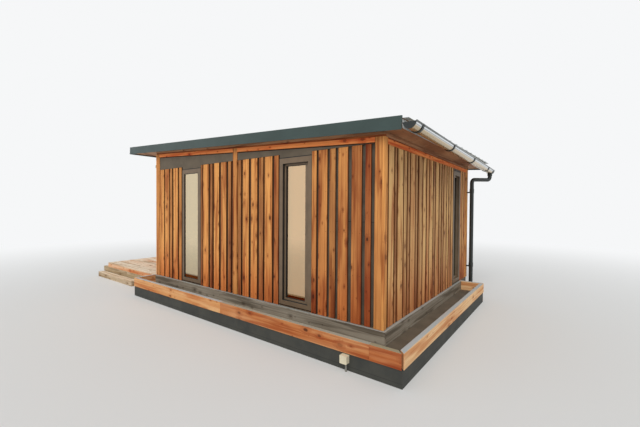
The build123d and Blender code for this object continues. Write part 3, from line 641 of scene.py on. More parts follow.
window_paint = mix_paint(
    "window_paint", card(118, 98, 76), card(106, 88, 68), scale=5.0, rough=(0.42, 0.55)
)
roof_paint = mix_paint(
    "roof_paint", card(54, 72, 69), card(48, 64, 61), scale=2.0, rough=(0.35, 0.55)
)
dark_paint = mix_paint(
    "dark_paint", card(38, 44, 43), card(30, 36, 35), scale=8.0, rough=(0.35, 0.5)
)
sheet_finish = mix_paint(
    "pale_sheet", card(200, 206, 206), card(184, 190, 190),
    scale=3.0, rough=(0.35, 0.5), metallic=0.3,
)
flashing_finish = mix_paint(
    "bright_sheet", card(226, 230, 230), card(206, 212, 214),
    scale=5.0, rough=(0.3, 0.45), metallic=0.3,
)
steel_finish = mix_paint(
    "brushed_steel", card(176, 174, 170), card(156, 154, 150),
    scale=30.0, rough=(0.25, 0.4), metallic=1.0,
)
# Black rubber for seals and gaskets; lining the reveals, it also stands for painted shade.
seal_and_reveal_shade_finish = mix_paint(
    "black_rubber_and_reveal_shade", card(26, 25, 24), card(20, 20, 19), scale=25.0, rough=(0.55, 0.75)
)

# %% [markdown]
# The gutter is bare zinc, and its colour holds painted light. Its bead lies in the shade of the
# roof and is painted darker, a painted reflection of the sky lies as a bright band under it, then
# a thin painted shadow line, and below that the round of the channel carries a warm painted
# reflection of the ground. The gutter falls to its outlet, so the recipe measures each point down
# from the sloping rim.

# %% Mix the zinc of the gutter
GUTTER_BEAD, GUTTER_FALL = 0.009, 0.095
# The sky band, the ground band, the shadow line and the bead shade are painted light.
ZINC_SKY_REFLECTION, ZINC_GROUND_REFLECTION = card(222, 226, 228), card(204, 184, 152)
ZINC_SHADOW_LINE, ZINC_BEAD_SHADE = card(92, 94, 88), card(96, 100, 98)
GROUND_REFLECTION_EDGES = (0.034, 0.046)
LINE_DEPTH, LINE_EDGES, LINE_SHARE = 0.032, (0.007, 0.002), 0.6
BEAD_SHADE_EDGES = (0.012, 0.006)


def mix_zinc():
    """Bare zinc: painted sky under its rim, painted ground below, a painted shadow line between, and
    painted shade on the bead.
    """
    finish, tree, shader = start_finish("bare_zinc")
    y, z = house_place(tree)[1:3]
    low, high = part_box("gutter")
    share = GUTTER_FALL / (high.y - low.y)
    rim = calculate(tree, "MULTIPLY_ADD", y, -share, high.z - GUTTER_BEAD + low.y * share)
    below = calculate(tree, "SUBTRACT", rim, z)
    body = blend(tree, ease(tree, below, *GROUND_REFLECTION_EDGES), ZINC_SKY_REFLECTION, ZINC_GROUND_REFLECTION)
    line = ease(tree, how_far(tree, below, LINE_DEPTH), *LINE_EDGES)
    lined = blend(tree, times(tree, line, LINE_SHARE), body, ZINC_SHADOW_LINE)
    rimmed = blend(tree, ease(tree, below, *BEAD_SHADE_EDGES), lined, ZINC_BEAD_SHADE)
    feed(tree, shader.inputs["Base Color"], rimmed)
    settle(shader, {"Metallic": 0.85, "Roughness": 0.24})
    return finish


zinc_finish = mix_zinc()

# %% Mix the plastic of the supply box
BOX_HEIGHT, BOX_EDGE = 0.095, 0.001
CREAM, CREAM_SHADE = card(224, 214, 186), card(214, 204, 176)
CONDUIT_GREY = card(122, 120, 112)
CREAM_PATCH = 12.0


def mix_plastic():
    """Cream plastic for the box, grey plastic for the conduit below it."""
    finish, tree, shader = start_finish("cream_plastic")
    box_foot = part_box("supply_box")[1].z - BOX_HEIGHT
    cream = mottle(tree, CREAM, CREAM_SHADE, CREAM_PATCH)[0]
    on_box = ease(tree, house_place(tree)[2], box_foot - BOX_EDGE, box_foot + BOX_EDGE)
    feed(tree, shader.inputs["Base Color"], blend(tree, on_box, CONDUIT_GREY, cream))
    settle(shader, {"Roughness": 0.45})
    return finish


plastic_finish = mix_plastic()

# %% [markdown]
# Coated glass mirrors what stands round it more than it lets through. The front windows mirror
# something bright and look beige, the one on the right wall mirrors shade and looks like dark
# water. A studio has neither, so these reflections are painted into the colour of the glass by
# its place.

# %% Mix the coated glass
# Colours of the painted reflections in the glass.
MIRRORED_FAR, MIRRORED_NEAR = card(238, 220, 184), card(242, 210, 170)
MIRRORED_EDGES = (-0.2, 0.2)
SHADED_FOOT, SHADED_HEAD = card(108, 140, 136), card(40, 62, 74)
SHADED_EDGES = (1.25, 1.45)
SIDE_EDGES = (2.45, 2.5)
WAVE_SCALE, WAVE_DETAIL = 1.6, 1.0
WAVE_RELIEF = (0.05, 0.02)


def mix_glass():
    """Coated glass with painted reflections: beige in front, and on the right wall teal at its foot
    and dark above.
    """
    finish, tree, shader = start_finish("coated_glass")
    place = house_place(tree)
    front = blend(tree, ease(tree, place["X"], *MIRRORED_EDGES), MIRRORED_FAR, MIRRORED_NEAR)
    shaded = blend(tree, ease(tree, place["Z"], *SHADED_EDGES), SHADED_FOOT, SHADED_HEAD)
    colour = blend(tree, ease(tree, place["X"], *SIDE_EDGES), front, shaded)
    feed(tree, shader.inputs["Base Color"], colour)
    settle(shader, {"Metallic": 0.72, "Roughness": 0.03, "Transmission Weight": 1.0, "IOR": 1.5})
    waves = cloud(tree, own_place(tree), WAVE_SCALE, WAVE_DETAIL)
    roughen(tree, shader, waves, *WAVE_RELIEF)
    return finish


glass_finish = mix_glass()
print(len(bpy.data.materials), "finishes are mixed")

# %% [markdown]
# ## Dress the frame
#
# Every solid of the frame gets its finish through its material slots. Its mesh stays as it is.

# %% Give each solid its finish
FINISHES = (
    (rough_finish, (
        "ground_bearers", "floor_deck", "roof_deck", "corner_posts", "mid_posts", "top_rails",
        "front_cladding", "back_cladding", "right_cladding", "left_cladding", "planter_boards",
        "planter_wall_boards", "deck_boards", "deck_edge_boards", "deck_beams", "deck_joists",
        "deck_pads", "deck_steps",
    )),
    (wall_finish, ("front_wall", "back_wall", "right_wall", "left_wall")),
    (panel_finish, ("base_skirt", "infill_panels", "planter_floor")),
    (base_finish, ("planter_base",)),
    (ply_finish, ("frieze_boards", "soffit_boards", "eave_board")),
    (window_paint, ("window_frames", "window_sashes", "entrance_frame", "entrance_leaf")),
    (glass_finish, ("window_glass", "entrance_glass")),
    (steel_finish, ("entrance_handle",)),
    (roof_paint, ("roof_fascias",)),
    (sheet_finish, ("roof_sheet",)),
    (zinc_finish, ("gutter",)),
    (dark_paint, (
        "gutter_end_caps", "gutter_brackets", "gutter_outlet", "downpipe", "pipe_clips", "wall_lamp",
    )),
    (plastic_finish, ("supply_box",)),
)
for finish, node_names in FINISHES:
    for node_name in node_names:
        solid = bpy.data.objects[node_name]
        solid.data.materials.clear()
        solid.data.materials.append(finish)
print(sum(len(node_names) for _, node_names in FINISHES), "solids have a finish")

# %% [markdown]
# ## Modelling helpers
#
# A board starts as a cube that is stretched to its size in edit mode, and its sharp arrises are
# taken off with a bevel. Its own coordinates are then written into the grain attribute, moved by
# a random shift, so that no two boards show the same knots. Such a board can be copied, turned
# and moved as often as needed, and the grain goes with it. A kind of wood is two numbers, its
# tone and its warmth. An order is the three axes across, through and along the grain.

# %% Select pieces and open them in edit mode
def pick(*pieces):
    """Selects these pieces and nothing else: operators act on all that is selected."""
    bpy.ops.object.select_all(action="DESELECT")
    for piece in pieces:
        piece.select_set(True)


def edit(piece):
    """Opens one piece in edit mode with all of it selected."""
    pick(piece)
    bpy.context.view_layer.objects.active = piece
    bpy.ops.object.mode_set(mode="EDIT")
    bpy.ops.mesh.select_all(action="SELECT")


def leave_edit():
    """Back to object mode, which also brings the mesh up to date."""
    bpy.ops.object.mode_set(mode="OBJECT")


# %% Mark the grain and the edges of a board
PALE, HONEY, AMBER = (0.03, 0.60), (0.17, 0.72), (0.42, 0.85)
TAN, BROWN = (0.46, 0.15), (0.72, 0.15)
DEEP, RUST = (0.66, 0.85), (0.94, 0.92)
KIND_PLAY = 0.04
SHIFT_REACH = 40.0
FACING = 0.9
UPRIGHT, ALONG_X, ALONG_Y = (0, 1, 2), (1, 2, 0), (0, 2, 1)
dice = random.Random(41)


def write_attribute(board, name, domain, values, kind="FLOAT"):
    """Adds an attribute and fills it. Adding one can move the others, so each is filled at once."""
    marks = board.data.attributes.new(name, kind, domain)
    marks.data.foreach_set("vector" if kind == "FLOAT_VECTOR" else "value", values)


def mark_edges(board, axis):
    """Marks the faces that look along one axis, either way, or every face."""
    marks = []
    for face in board.data.polygons:
        marks.append(1.0 if axis is None or abs(face.normal[axis]) > FACING else 0.0)
    write_attribute(board, "edge", "FACE", marks)


def mark_grain(board, kind, order=UPRIGHT):
    """Writes where each point lies across, through and along, and the tone and warmth of kind."""
    shift = Vector((dice.uniform(0.0, SHIFT_REACH), 0.0, dice.uniform(0.0, SHIFT_REACH)))
    tone, warmth = [value + dice.uniform(-KIND_PLAY, KIND_PLAY) for value in kind]
    places = []
    for vertex in board.data.vertices:
        places += [vertex.co[axis] + shift[place] for place, axis in enumerate(order)]
    corners = len(board.data.vertices)
    write_attribute(board, "grain", "POINT", places, "FLOAT_VECTOR")
    write_attribute(board, "tone", "POINT", [tone] * corners)
    write_attribute(board, "warmth", "POINT", [warmth] * corners)


# %% Copy, turn and take away pieces
def copy_piece(piece):
    """A copy with its own mesh."""
    twin = piece.copy()
    twin.data = piece.data.copy()
    bpy.context.collection.objects.link(twin)
    return twin


def place_piece(piece, turn, place):
    """Turns a piece about the upright axis and moves it, in edit mode, so its object stays put.

    With no window open the rotate operator turns clockwise, hence the minus sign.
    """
    edit(piece)
    bpy.ops.transform.rotate(value=-turn, orient_axis="Z", center_override=(0.0, 0.0, 0.0))
    bpy.ops.transform.translate(value=place)
    leave_edit()


def discard(pieces):
    """Takes pattern pieces away once their copies are made."""
    pick(*pieces)
    bpy.ops.object.delete()


# %% Join pieces and fit them to the house
def join(pieces):
    """Joins pieces into the first of them."""
    pick(*pieces)
    bpy.context.view_layer.objects.active = pieces[0]
    bpy.ops.object.join()
    return pieces[0]


def fit(pieces, name, finish, slot, *nodes):
    """Joins pieces, hides the solids they stand for, and lets them ride with the house."""
    piece = join(pieces)
    piece.name = name
    piece.data.name = name
    piece.data.materials.clear()
    piece.data.materials.append(finish)
    if nodes:
        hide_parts(*nodes)
    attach(piece, "root")
    print(name, "has", len(pieces), "parts and", len(piece.data.polygons), "faces")
    return piece


# %% [markdown]
# ## The upright boards
#
# The walls are covered with boards of several widths, in an order that never quite repeats, with
# a dark gap after each. Their heads stop at one level line. One board of each width is modelled
# for a wall, and the copies are set side by side. Some boards are honey coloured, some brown and
# some rust red, and neighbours rarely match. Each row of a table below gives the place of the
# middle of a board along its wall, its width and its kind of wood.

# %% Model a board and drive its screws
ARRIS, ARRIS_STEPS = 0.0025, 2
SCREW_RADIUS, SCREW_PROUD, SCREW_INSET, SCREW_CORNERS = 0.004, 0.0016, 0.022, 8
BATTEN_SHARES = (0.03, 0.27, 0.51, 0.75, 0.97)


def model_board(width, thickness, length):
    """A sawn board round the origin: x across, y through, z along."""
    pick()
    bpy.ops.mesh.primitive_cube_add(size=1.0)
    board = bpy.context.object
    edit(board)
    bpy.ops.transform.resize(value=(width, thickness, length))
    bpy.ops.mesh.bevel(offset=ARRIS, segments=ARRIS_STEPS, affect="EDGES")
    leave_edit()
    mark_edges(board, 0)
    return board


def drive_screws(board, width, thickness, length):
    """Adds dark screw heads: a pair at each batten behind a board, or one on a slim board."""
    aside = width / 2 - SCREW_INSET
    sides = (-aside, aside) if aside > SCREW_INSET / 2 else (0.0,)
    heads = []
    for share in BATTEN_SHARES:
        for side in sides:
            pick()
            bpy.ops.mesh.primitive_cylinder_add(
                vertices=SCREW_CORNERS, radius=SCREW_RADIUS, depth=SCREW_PROUD,
                rotation=(math.pi / 2, 0.0, 0.0),
                location=(side, -thickness / 2, (share - 0.5) * length),
            )
            head = bpy.context.object
            mark_edges(head, None)
            heads.append(head)
    join([board, *heads])


# %% Clad a wall
def clad(name, node, boards, finish, turn, at):
    """Covers one wall. at gives x and y of a board from its place along the wall."""
    low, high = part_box(node)
    length = high.z - low.z
    thickness = min(high.x - low.x, high.y - low.y)
    patterns = {}
    for width in sorted({row[1] for row in boards}):
        patterns[width] = model_board(width, thickness, length)
        drive_screws(patterns[width], width, thickness, length)
    placed = []
    for along, width, kind in boards:
        board = copy_piece(patterns[width])
        mark_grain(board, kind)
        x, y = at(along)
        place_piece(board, turn, (x, y, low.z + length / 2))
        placed.append(board)
    discard(patterns.values())
    return fit(placed, name, finish, "cladding_wood", node)


def layer_middle(node, axis):
    """Where the middle of a cladding layer lies, through the wall."""
    low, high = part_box(node)
    return (low[axis] + high[axis]) / 2


# %% Board the front wall
RIPPED, SLIM, NARROW, MIDDLE, WIDE, BROAD = 0.052, 0.070, 0.080, 0.094, 0.148, 0.162
# Towards the right corner the kinds run darker, which partly paints the shade on that end of the
# wall.
FRONT_BOARDS = (
    (2.472, NARROW, RUST), (2.307, WIDE, DEEP), (2.103, WIDE, AMBER), (1.938, MIDDLE, BROWN),
    (1.779, WIDE, AMBER), (1.630, NARROW, AMBER), (0.902, MIDDLE, DEEP), (0.733, BROAD, HONEY),
    (0.571, MIDDLE, BROWN), (0.406, WIDE, HONEY), (0.207, WIDE, HONEY), (0.052, SLIM, BROWN),
    (-0.212, NARROW, BROWN), (-0.379, WIDE, HONEY), (-0.581, WIDE, PALE), (-0.738, SLIM, BROWN),
    (-0.901, BROAD, PALE), (-1.032, RIPPED, BROWN), (-1.765, MIDDLE, TAN), (-1.938, BROAD, PALE),
    (-2.112, NARROW, TAN), (-2.270, BROAD, HONEY), (-2.470, BROAD, PALE),
)

front_depth = layer_middle("front_cladding", 1)
clad("front_boards", "front_cladding", FRONT_BOARDS, cladding_finish, 0.0, lambda x: (x, front_depth))

# %% Board the right wall
MIDDLING = 0.124
RIGHT_BOARDS = (
    (-1.824, WIDE, HONEY), (-1.691, RIPPED, BROWN), (-1.542, BROAD, PALE), (-1.382, MIDDLE, TAN),
    (-1.262, SLIM, BROWN), (-1.109, BROAD, AMBER), (-0.967, SLIM, BROWN), (-0.801, WIDE, TAN),
    (-0.634, MIDDLING, PALE), (-0.480, MIDDLE, AMBER), (-0.322, WIDE, HONEY), (-0.172, NARROW, BROWN),
    (-0.018, WIDE, HONEY), (0.150, MIDDLE, TAN), (0.287, NARROW, BROWN), (0.437, WIDE, TAN),
    (0.583, SLIM, PALE), (0.720, MIDDLING, TAN), (0.877, MIDDLE, HONEY),
    (1.535, MIDDLING, DEEP), (1.678, MIDDLE, AMBER), (1.812, MIDDLING, DEEP),
)
right_depth = layer_middle("right_cladding", 0)
clad(
    "right_boards", "right_cladding", RIGHT_BOARDS, sunlit_finish, math.pi / 2,
    lambda y: (right_depth, y),
)

# %% [markdown]
# The back wall and the left wall follow the same habit. A bay, which is the stretch between two
# posts or a post and a window, is filled with the rhythm of widths, and the gaps are evened out.

# %% Fill a bay with boards
KINDS = (PALE, HONEY, HONEY, AMBER, TAN, BROWN, RUST)
RHYTHM = (WIDE, NARROW, MIDDLE, WIDE, SLIM, MIDDLE)
BOARD_GAP = 0.040


def fill_bay(start, end):
    """As many boards of the rhythm as fit between two edges, spread to fill the bay."""
    widths = []
    room = end - start - BOARD_GAP
    while sum(widths) + len(widths) * BOARD_GAP + RHYTHM[len(widths) % len(RHYTHM)] < room:
        widths.append(RHYTHM[len(widths) % len(RHYTHM)])
    gap = (end - start - sum(widths)) / (len(widths) + 1)
    rows = []
    edge = start + gap
    for width in widths:
        rows.append((edge + width / 2, width, dice.choice(KINDS)))
        edge += width + gap
    return tuple(rows)


# %% Board the back wall
TRIM_GAP = 0.003
NEAR_WINDOW_X, FAR_WINDOW_X, WINDOW_WIDTH = 1.278, -1.373, 0.615
MID_POST_X, MID_POST_WIDTH = -0.060, 0.105

back_low, back_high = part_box("back_cladding")
in_the_way = (
    (FAR_WINDOW_X, WINDOW_WIDTH), (MID_POST_X, MID_POST_WIDTH), (NEAR_WINDOW_X, WINDOW_WIDTH),
)
back_stops = [back_low.x]
for middle, width in in_the_way:
    back_stops += [middle - width / 2 - TRIM_GAP, middle + width / 2 + TRIM_GAP]
back_stops.append(back_high.x)
back_boards = []
for bay in range(0, len(back_stops), 2):
    back_boards += fill_bay(back_stops[bay], back_stops[bay + 1])
back_depth = layer_middle("back_cladding", 1)
clad("back_boards", "back_cladding", back_boards, cladding_finish, math.pi, lambda x: (x, back_depth))

# %% Board the left wall
entrance_low, entrance_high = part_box("entrance_frame")
left_low, left_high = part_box("left_cladding")
left_boards = fill_bay(left_low.y, entrance_low.y) + fill_bay(entrance_high.y, left_high.y)
left_depth = layer_middle("left_cladding", 0)
clad(
    "left_boards", "left_cladding", left_boards, cladding_finish, -math.pi / 2,
    lambda y: (left_depth, y),
)

# %% [markdown]
# ## Posts and rails
#
# The trim is planed timber: two boards lap round each corner, a post covers the joint in the
# middle of each long wall, and rails run under the roof. Each is a cube stretched between two
# corners of the house. The roof falls to the right, so their heads are cut with a bisect along
# the roof, and the rails of the long walls are cut from a deeper timber by two such planes. The
# heights of heads and rails are given from the underside of the soffit, so they are negative.

# %% Find the roof over a place
ROOF_SLOPE = 0.0508
post_low, post_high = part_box("corner_posts")
outer_x, outer_y = post_high.x, post_high.y


def roof_height(x):
    """The underside of the soffit over x."""
    return post_high.z - ROOF_SLOPE * (x - post_low.x)


def roof_cut(above_soffit=0.0, up=1):
    """A plane that runs with the roof; a timber loses what lies beyond it."""
    return (0.0, 0.0, roof_height(0.0) + above_soffit), (up * ROOF_SLOPE, 0.0, up)


# %% Stretch a cube and saw a timber
def stretch_cube(low, high):
    """A cube stretched between two corners, left open in edit mode."""
    low, high = Vector(low), Vector(high)
    pick()
    bpy.ops.mesh.primitive_cube_add(size=1.0)
    piece = bpy.context.object
    edit(piece)
    bpy.ops.transform.resize(value=high - low)
    bpy.ops.transform.translate(value=(low + high) / 2)
    return piece


def saw_timber(low, high, order, kind, weathered=2, cuts=(), arris=ARRIS):
    """A timber between two corners. order gives the axes across, through and along its grain."""
    timber = stretch_cube(low, high)
    for place, normal in cuts:
        bpy.ops.mesh.select_all(action="SELECT")
        bpy.ops.mesh.bisect(plane_co=place, plane_no=normal, use_fill=True, clear_outer=True)
    bpy.ops.mesh.select_all(action="SELECT")
    bpy.ops.mesh.normals_make_consistent()
    bpy.ops.mesh.bevel(offset=arris, segments=ARRIS_STEPS, affect="EDGES")
    leave_edit()
    mark_edges(timber, weathered)
    mark_grain(timber, kind, order)
    return timber


# %% Saw a long timber and mirror a stretch
TRIM = 0.035


def long_timber(near, back, left, right_end, foot, top, kind):
    """A timber along a long wall that keeps the slope of the roof."""
    low = (left, near, roof_height(right_end) + 2 * foot)
    high = (right_end, back, roof_height(left) + TRIM)
    return saw_timber(low, high, ALONG_X, kind, cuts=[roof_cut(top), roof_cut(foot, -1)])


def span(side, inner, outer):
    """The two ends of a stretch that lies between inner and outer on one side of the house."""
    return sorted((side * inner, side * outer))


# %% Set the posts at the corners
BUTT_GAP = 0.001
POST_WIDE, POST_NARROW = 0.133, 0.080
POST_TOP = -0.058
# The lap boards on the end walls get a paler kind than the face boards: painted sunlight on the same
# wood.
FACE_KIND, LAP_KIND = (0.34, 0.85), (0.04, 0.5)

posts = []
for x_side in (-1, 1):
    for y_side, long_leg, end_leg in ((-1, POST_WIDE, POST_NARROW), (1, POST_NARROW, POST_WIDE)):
        face_x = span(x_side, outer_x - long_leg, outer_x - TRIM - BUTT_GAP)
        face_y = span(y_side, outer_y - TRIM, outer_y)
        lap_x = span(x_side, outer_x - TRIM, outer_x)
        lap_y = span(y_side, outer_y - end_leg, outer_y)
        for x_span, y_span, kind in ((face_x, face_y, FACE_KIND), (lap_x, lap_y, LAP_KIND)):
            low = (x_span[0], y_span[0], post_low.z)
            high = (x_span[1], y_span[1], post_high.z + TRIM)
            posts.append(saw_timber(low, high, UPRIGHT, kind, cuts=[roof_cut(POST_TOP)]))
fit(posts, "corner_boards", trim_finish, "trim_wood", "corner_posts")

# %% Set the posts in the middle
MIDDLE_KIND = (0.36, 0.85)

middles = []
for y_side in (-1, 1):
    near, back = span(y_side, outer_y - TRIM, outer_y)
    low = (MID_POST_X - MID_POST_WIDTH / 2, near, post_low.z)
    high = (MID_POST_X + MID_POST_WIDTH / 2, back, post_high.z)
    middles.append(saw_timber(low, high, UPRIGHT, MIDDLE_KIND, cuts=[roof_cut(POST_TOP)]))
fit(middles, "mid_post_boards", trim_finish, "trim_wood", "mid_posts")

# %% [markdown]
# The rails keep a shadow line: a batten that stands a little back closes the gap between each
# rail and the board above it. The batten's dark rust kind is painted shade, over the shade that
# its recess casts. On the long walls both run with the roof, at the ends they are level.

# %% Saw the rails of the long walls
FRONT_RAIL = (-0.122, -0.060)
HEAD_FOOT, HEAD_RECESS = -0.034, 0.008
# The dark kind of the battens is painted shade under the roof.
RAIL_KIND, SHADOW_KIND = (0.08, 0.6), (0.90, 0.8)

rails = []
shadows = []
for y_side, long_leg in ((-1, POST_WIDE), (1, POST_NARROW)):
    near, back = span(y_side, outer_y - TRIM, outer_y)
    reach = outer_x - long_leg - TRIM_GAP
    stretches = (
        (-reach, MID_POST_X - MID_POST_WIDTH / 2 - TRIM_GAP),
        (MID_POST_X + MID_POST_WIDTH / 2 + TRIM_GAP, reach),
    )
    for left, right_end in stretches:
        rails.append(long_timber(near, back, left, right_end, *FRONT_RAIL, RAIL_KIND))
    near, back = span(y_side, outer_y - TRIM, outer_y - HEAD_RECESS)
    shadows.append(long_timber(near, back, -outer_x, outer_x, POST_TOP, HEAD_FOOT, SHADOW_KIND))

# %% Saw the rails of the ends
SIDE_RAIL = (-0.138, -0.074)

rail_low_y = -outer_y + POST_NARROW + TRIM_GAP
rail_high_y = outer_y - POST_WIDE - TRIM_GAP
for x_side in (-1, 1):
    soffit = roof_height(x_side * outer_x)
    left, right_edge = span(x_side, outer_x - TRIM, outer_x)
    low = (left, rail_low_y, soffit + SIDE_RAIL[0])
    high = (right_edge, rail_high_y, soffit + SIDE_RAIL[1])
    rails.append(saw_timber(low, high, ALONG_Y, RAIL_KIND))
    left, right_edge = span(x_side, outer_x - TRIM, outer_x - HEAD_RECESS)
    low = (left, rail_low_y, soffit + SIDE_RAIL[1])
    high = (right_edge, rail_high_y, soffit + POST_TOP)
    shadows.append(saw_timber(low, high, ALONG_Y, SHADOW_KIND))
fit(rails, "rail_boards", rail_finish, "trim_wood", "top_rails")
fit(shadows, "shadow_battens", trim_finish, "trim_wood")

# %% [markdown]
# A stained board runs over the heads of the posts, all the way round, and closes the wall to the
# soffit. That is why the posts were cut short.

# %% Close the heads
heads = []
for y_side in (-1, 1):
    near, back = span(y_side, outer_y - TRIM, outer_y)
    heads.append(long_timber(near, back, -outer_x, outer_x, HEAD_FOOT, -BUTT_GAP, BROWN))
for x_side in (-1, 1):
    left, right_edge = span(x_side, outer_x - TRIM, outer_x)
    head_top = roof_height(outer_x) if x_side > 0 else post_high.z
    low = (left, -outer_y + TRIM + BUTT_GAP, roof_height(x_side * outer_x) + POST_TOP)
    high = (right_edge, outer_y - TRIM - BUTT_GAP, head_top - BUTT_GAP)
    heads.append(saw_timber(low, high, ALONG_Y, BROWN))
fit(heads, "head_boards", ply_finish, "soffit_wood")

# %% [markdown]
# Strips of metal hang from the foot of the fascia, so that rain drips clear of the wood.

# %% Hang the drip edge
DRIP_EDGE, DRIP_HANG, DRIP_LAP, DRIP_ARRIS = 0.003, -0.024, 0.012, 0.0008

fascia_low, fascia_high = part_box("roof_fascias")
strips = []
for near in (fascia_low.y - DRIP_EDGE, fascia_high.y):
    low = (fascia_low.x, near, roof_height(fascia_high.x) + 2 * DRIP_HANG)
    high = (fascia_high.x, near + DRIP_EDGE, roof_height(fascia_low.x) + TRIM)
    cuts = [roof_cut(DRIP_LAP), roof_cut(DRIP_HANG, -1)]
    strips.append(saw_timber(low, high, ALONG_X, BROWN, cuts=cuts, arris=DRIP_ARRIS))
left_foot = roof_height(fascia_low.x)
low = (fascia_low.x - DRIP_EDGE, fascia_low.y - DRIP_EDGE, left_foot + DRIP_HANG)
high = (fascia_low.x, fascia_high.y + DRIP_EDGE, left_foot + DRIP_LAP)
strips.append(saw_timber(low, high, ALONG_Y, BROWN, arris=DRIP_ARRIS))
fit(strips, "drip_edges", roof_paint, "roof_metal")

# %% [markdown]
# ## The planters
#
# The planter boards are thick, and mitred at their corners, where the joints have opened a
# little. Rain and sun have turned their top edges grey. The board on the right side gets a much
# paler kind than the one at the front, which stays orange: the paleness is painted light, for
# the light that falls on that side. Behind them greyed boards stand against the wall.

# %% Mitre the planter boards
PLANTER_BOARD, OPEN_MITRE = 0.065, 0.011
planter_low, planter_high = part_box("planter_boards")
left_x, right_x, front_y = planter_low.x, planter_high.x, planter_low.y


def mitre(x, y, towards_x, towards_y):
    """A cut at 45 degrees through a corner, held back by half of the open joint."""
    normal = Vector((towards_x, towards_y, 0.0)).normalized()
    return Vector((x, y, 0.0)) - normal * OPEN_MITRE, normal


def planter_board(x_span, y_span, order, kind, cuts):
    """A board of the planters between two places across, at their full height."""
    low = (x_span[0], y_span[0], planter_low.z)
    high = (x_span[1], y_span[1], planter_high.z)
    return saw_timber(low, high, order, kind, cuts=cuts)


# %% Set the planter boards of the front
FRONT_JOINTS = (0.153, 2.750)
FRONT_KINDS = ((0.80, 0.15), (0.84, 0.70), (0.92, 0.92))

front_span = (front_y, front_y + PLANTER_BOARD)
stops = (left_x, *FRONT_JOINTS, right_x)
planks = []
for start, end, kind in zip(stops, stops[1:], FRONT_KINDS):
    cuts = []
    if start == left_x:
        cuts.append(mitre(left_x, front_y, -1, 1))
    if end == right_x:
        cuts.append(mitre(right_x, front_y, 1, 1))
    x_span = (start, end - (0 if end == right_x else 2 * BUTT_GAP))
    planks.append(planter_board(x_span, front_span, ALONG_X, kind, cuts))

# %% Set the planter boards of the sides
PLANTER_END = 1.525
# The right side board and the far end board get a pale kind: painted light on the lit side.
SIDE_KIND, END_KIND = (0.10, 0.1), (0.60, 0.2)
skirt_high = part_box("base_skirt")[1]

side_cuts = [mitre(right_x, front_y, -1, -1), mitre(right_x, PLANTER_END, -1, 1)]
side_span = (right_x - PLANTER_BOARD, right_x)
planks.append(planter_board(side_span, (front_y, PLANTER_END), ALONG_Y, SIDE_KIND, side_cuts))
left_cut = [mitre(left_x, front_y, 1, -1)]
left_span = (left_x, left_x + PLANTER_BOARD)
planks.append(planter_board(left_span, (front_y, post_low.y), ALONG_Y, END_KIND, left_cut))
end_cut = [mitre(right_x, PLANTER_END, 1, -1)]
end_span = (PLANTER_END - PLANTER_BOARD, PLANTER_END)
planks.append(planter_board((skirt_high.x, right_x), end_span, ALONG_X, SIDE_KIND, end_cut))
fit(planks, "planter_planks", planter_finish, "planter_wood", "planter_boards")

# %% Set the greyed boards against the wall
BACK_BOARD = 0.045
BACK_KIND, BACK_SIDE_KIND = (0.4, 0.2), (0.3, 0.2)

trough_low, trough_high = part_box("planter_wall_boards")
front_high = (trough_high.x, trough_low.y + BACK_BOARD, trough_high.z)
side_low = (skirt_high.x, trough_low.y + BACK_BOARD + BUTT_GAP, trough_low.z)
against_wall = [
    saw_timber(trough_low, front_high, ALONG_X, BACK_KIND),
    saw_timber(side_low, trough_high, ALONG_Y, BACK_SIDE_KIND),
]
fit(against_wall, "planter_back_planks", grey_finish, "weathered_wood", "planter_wall_boards")

# %% [markdown]
# ## The deck
#
# Deck boards lie across the joists with a narrow drainage gap between them. All are sawn to one
# width, and their number follows from the depth of the deck. Below them show two courses of edge
# boards, a wide tread at the far end, and a low box step in front.

# %% Lay the deck boards
DECK_BOARD_WIDTH, DECK_GAP = 0.140, 0.006
DECK_KINDS = ((0.05, 0.5), (0.15, 0.3), (0.2, 0.7), (0.35, 0.2))


def floor_boards(low, high, order):
    """Boards side by side over a rectangle, with a gap between them."""
    across = order[0]
    rows = round((high[across] - low[across] + DECK_GAP) / (DECK_BOARD_WIDTH + DECK_GAP))
    pitch = (high[across] - low[across] + DECK_GAP) / rows
    boards = []
    for row in range(rows):
        start, end = Vector(low), Vector(high)
        start[across] = low[across] + row * pitch
        end[across] = start[across] + pitch - DECK_GAP
        boards.append(saw_timber(start, end, order, dice.choice(DECK_KINDS), weathered=across))
    return boards


deck_low, deck_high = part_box("deck_boards")
deck_boards = floor_boards(deck_low, deck_high, ALONG_X)
fit(deck_boards, "deck_planks", deck_finish, "deck_wood", "deck_boards")

# %% Edge the deck
PLANK = 0.028
EDGE_KIND = (0.75, 0.95)

edge_low, edge_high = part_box("deck_edge_boards")
edges = [
    saw_timber(edge_low, (edge_high.x, edge_low.y + PLANK, edge_high.z), ALONG_X, EDGE_KIND),
    saw_timber((edge_low.x, edge_high.y - PLANK, edge_low.z), edge_high, ALONG_X, EDGE_KIND),
    saw_timber(
        (edge_low.x, edge_low.y + PLANK + BUTT_GAP, edge_low.z),
        (edge_low.x + PLANK, edge_high.y - PLANK - BUTT_GAP, edge_high.z), ALONG_Y, EDGE_KIND,
    ),
]
fit(edges, "deck_edge_planks", deck_finish, "deck_wood", "deck_edge_boards")

# %% Set the beams
BEAM, BEAM_JOINT_X = 0.045, -4.139
BEAM_KIND = (0.85, 0.1)

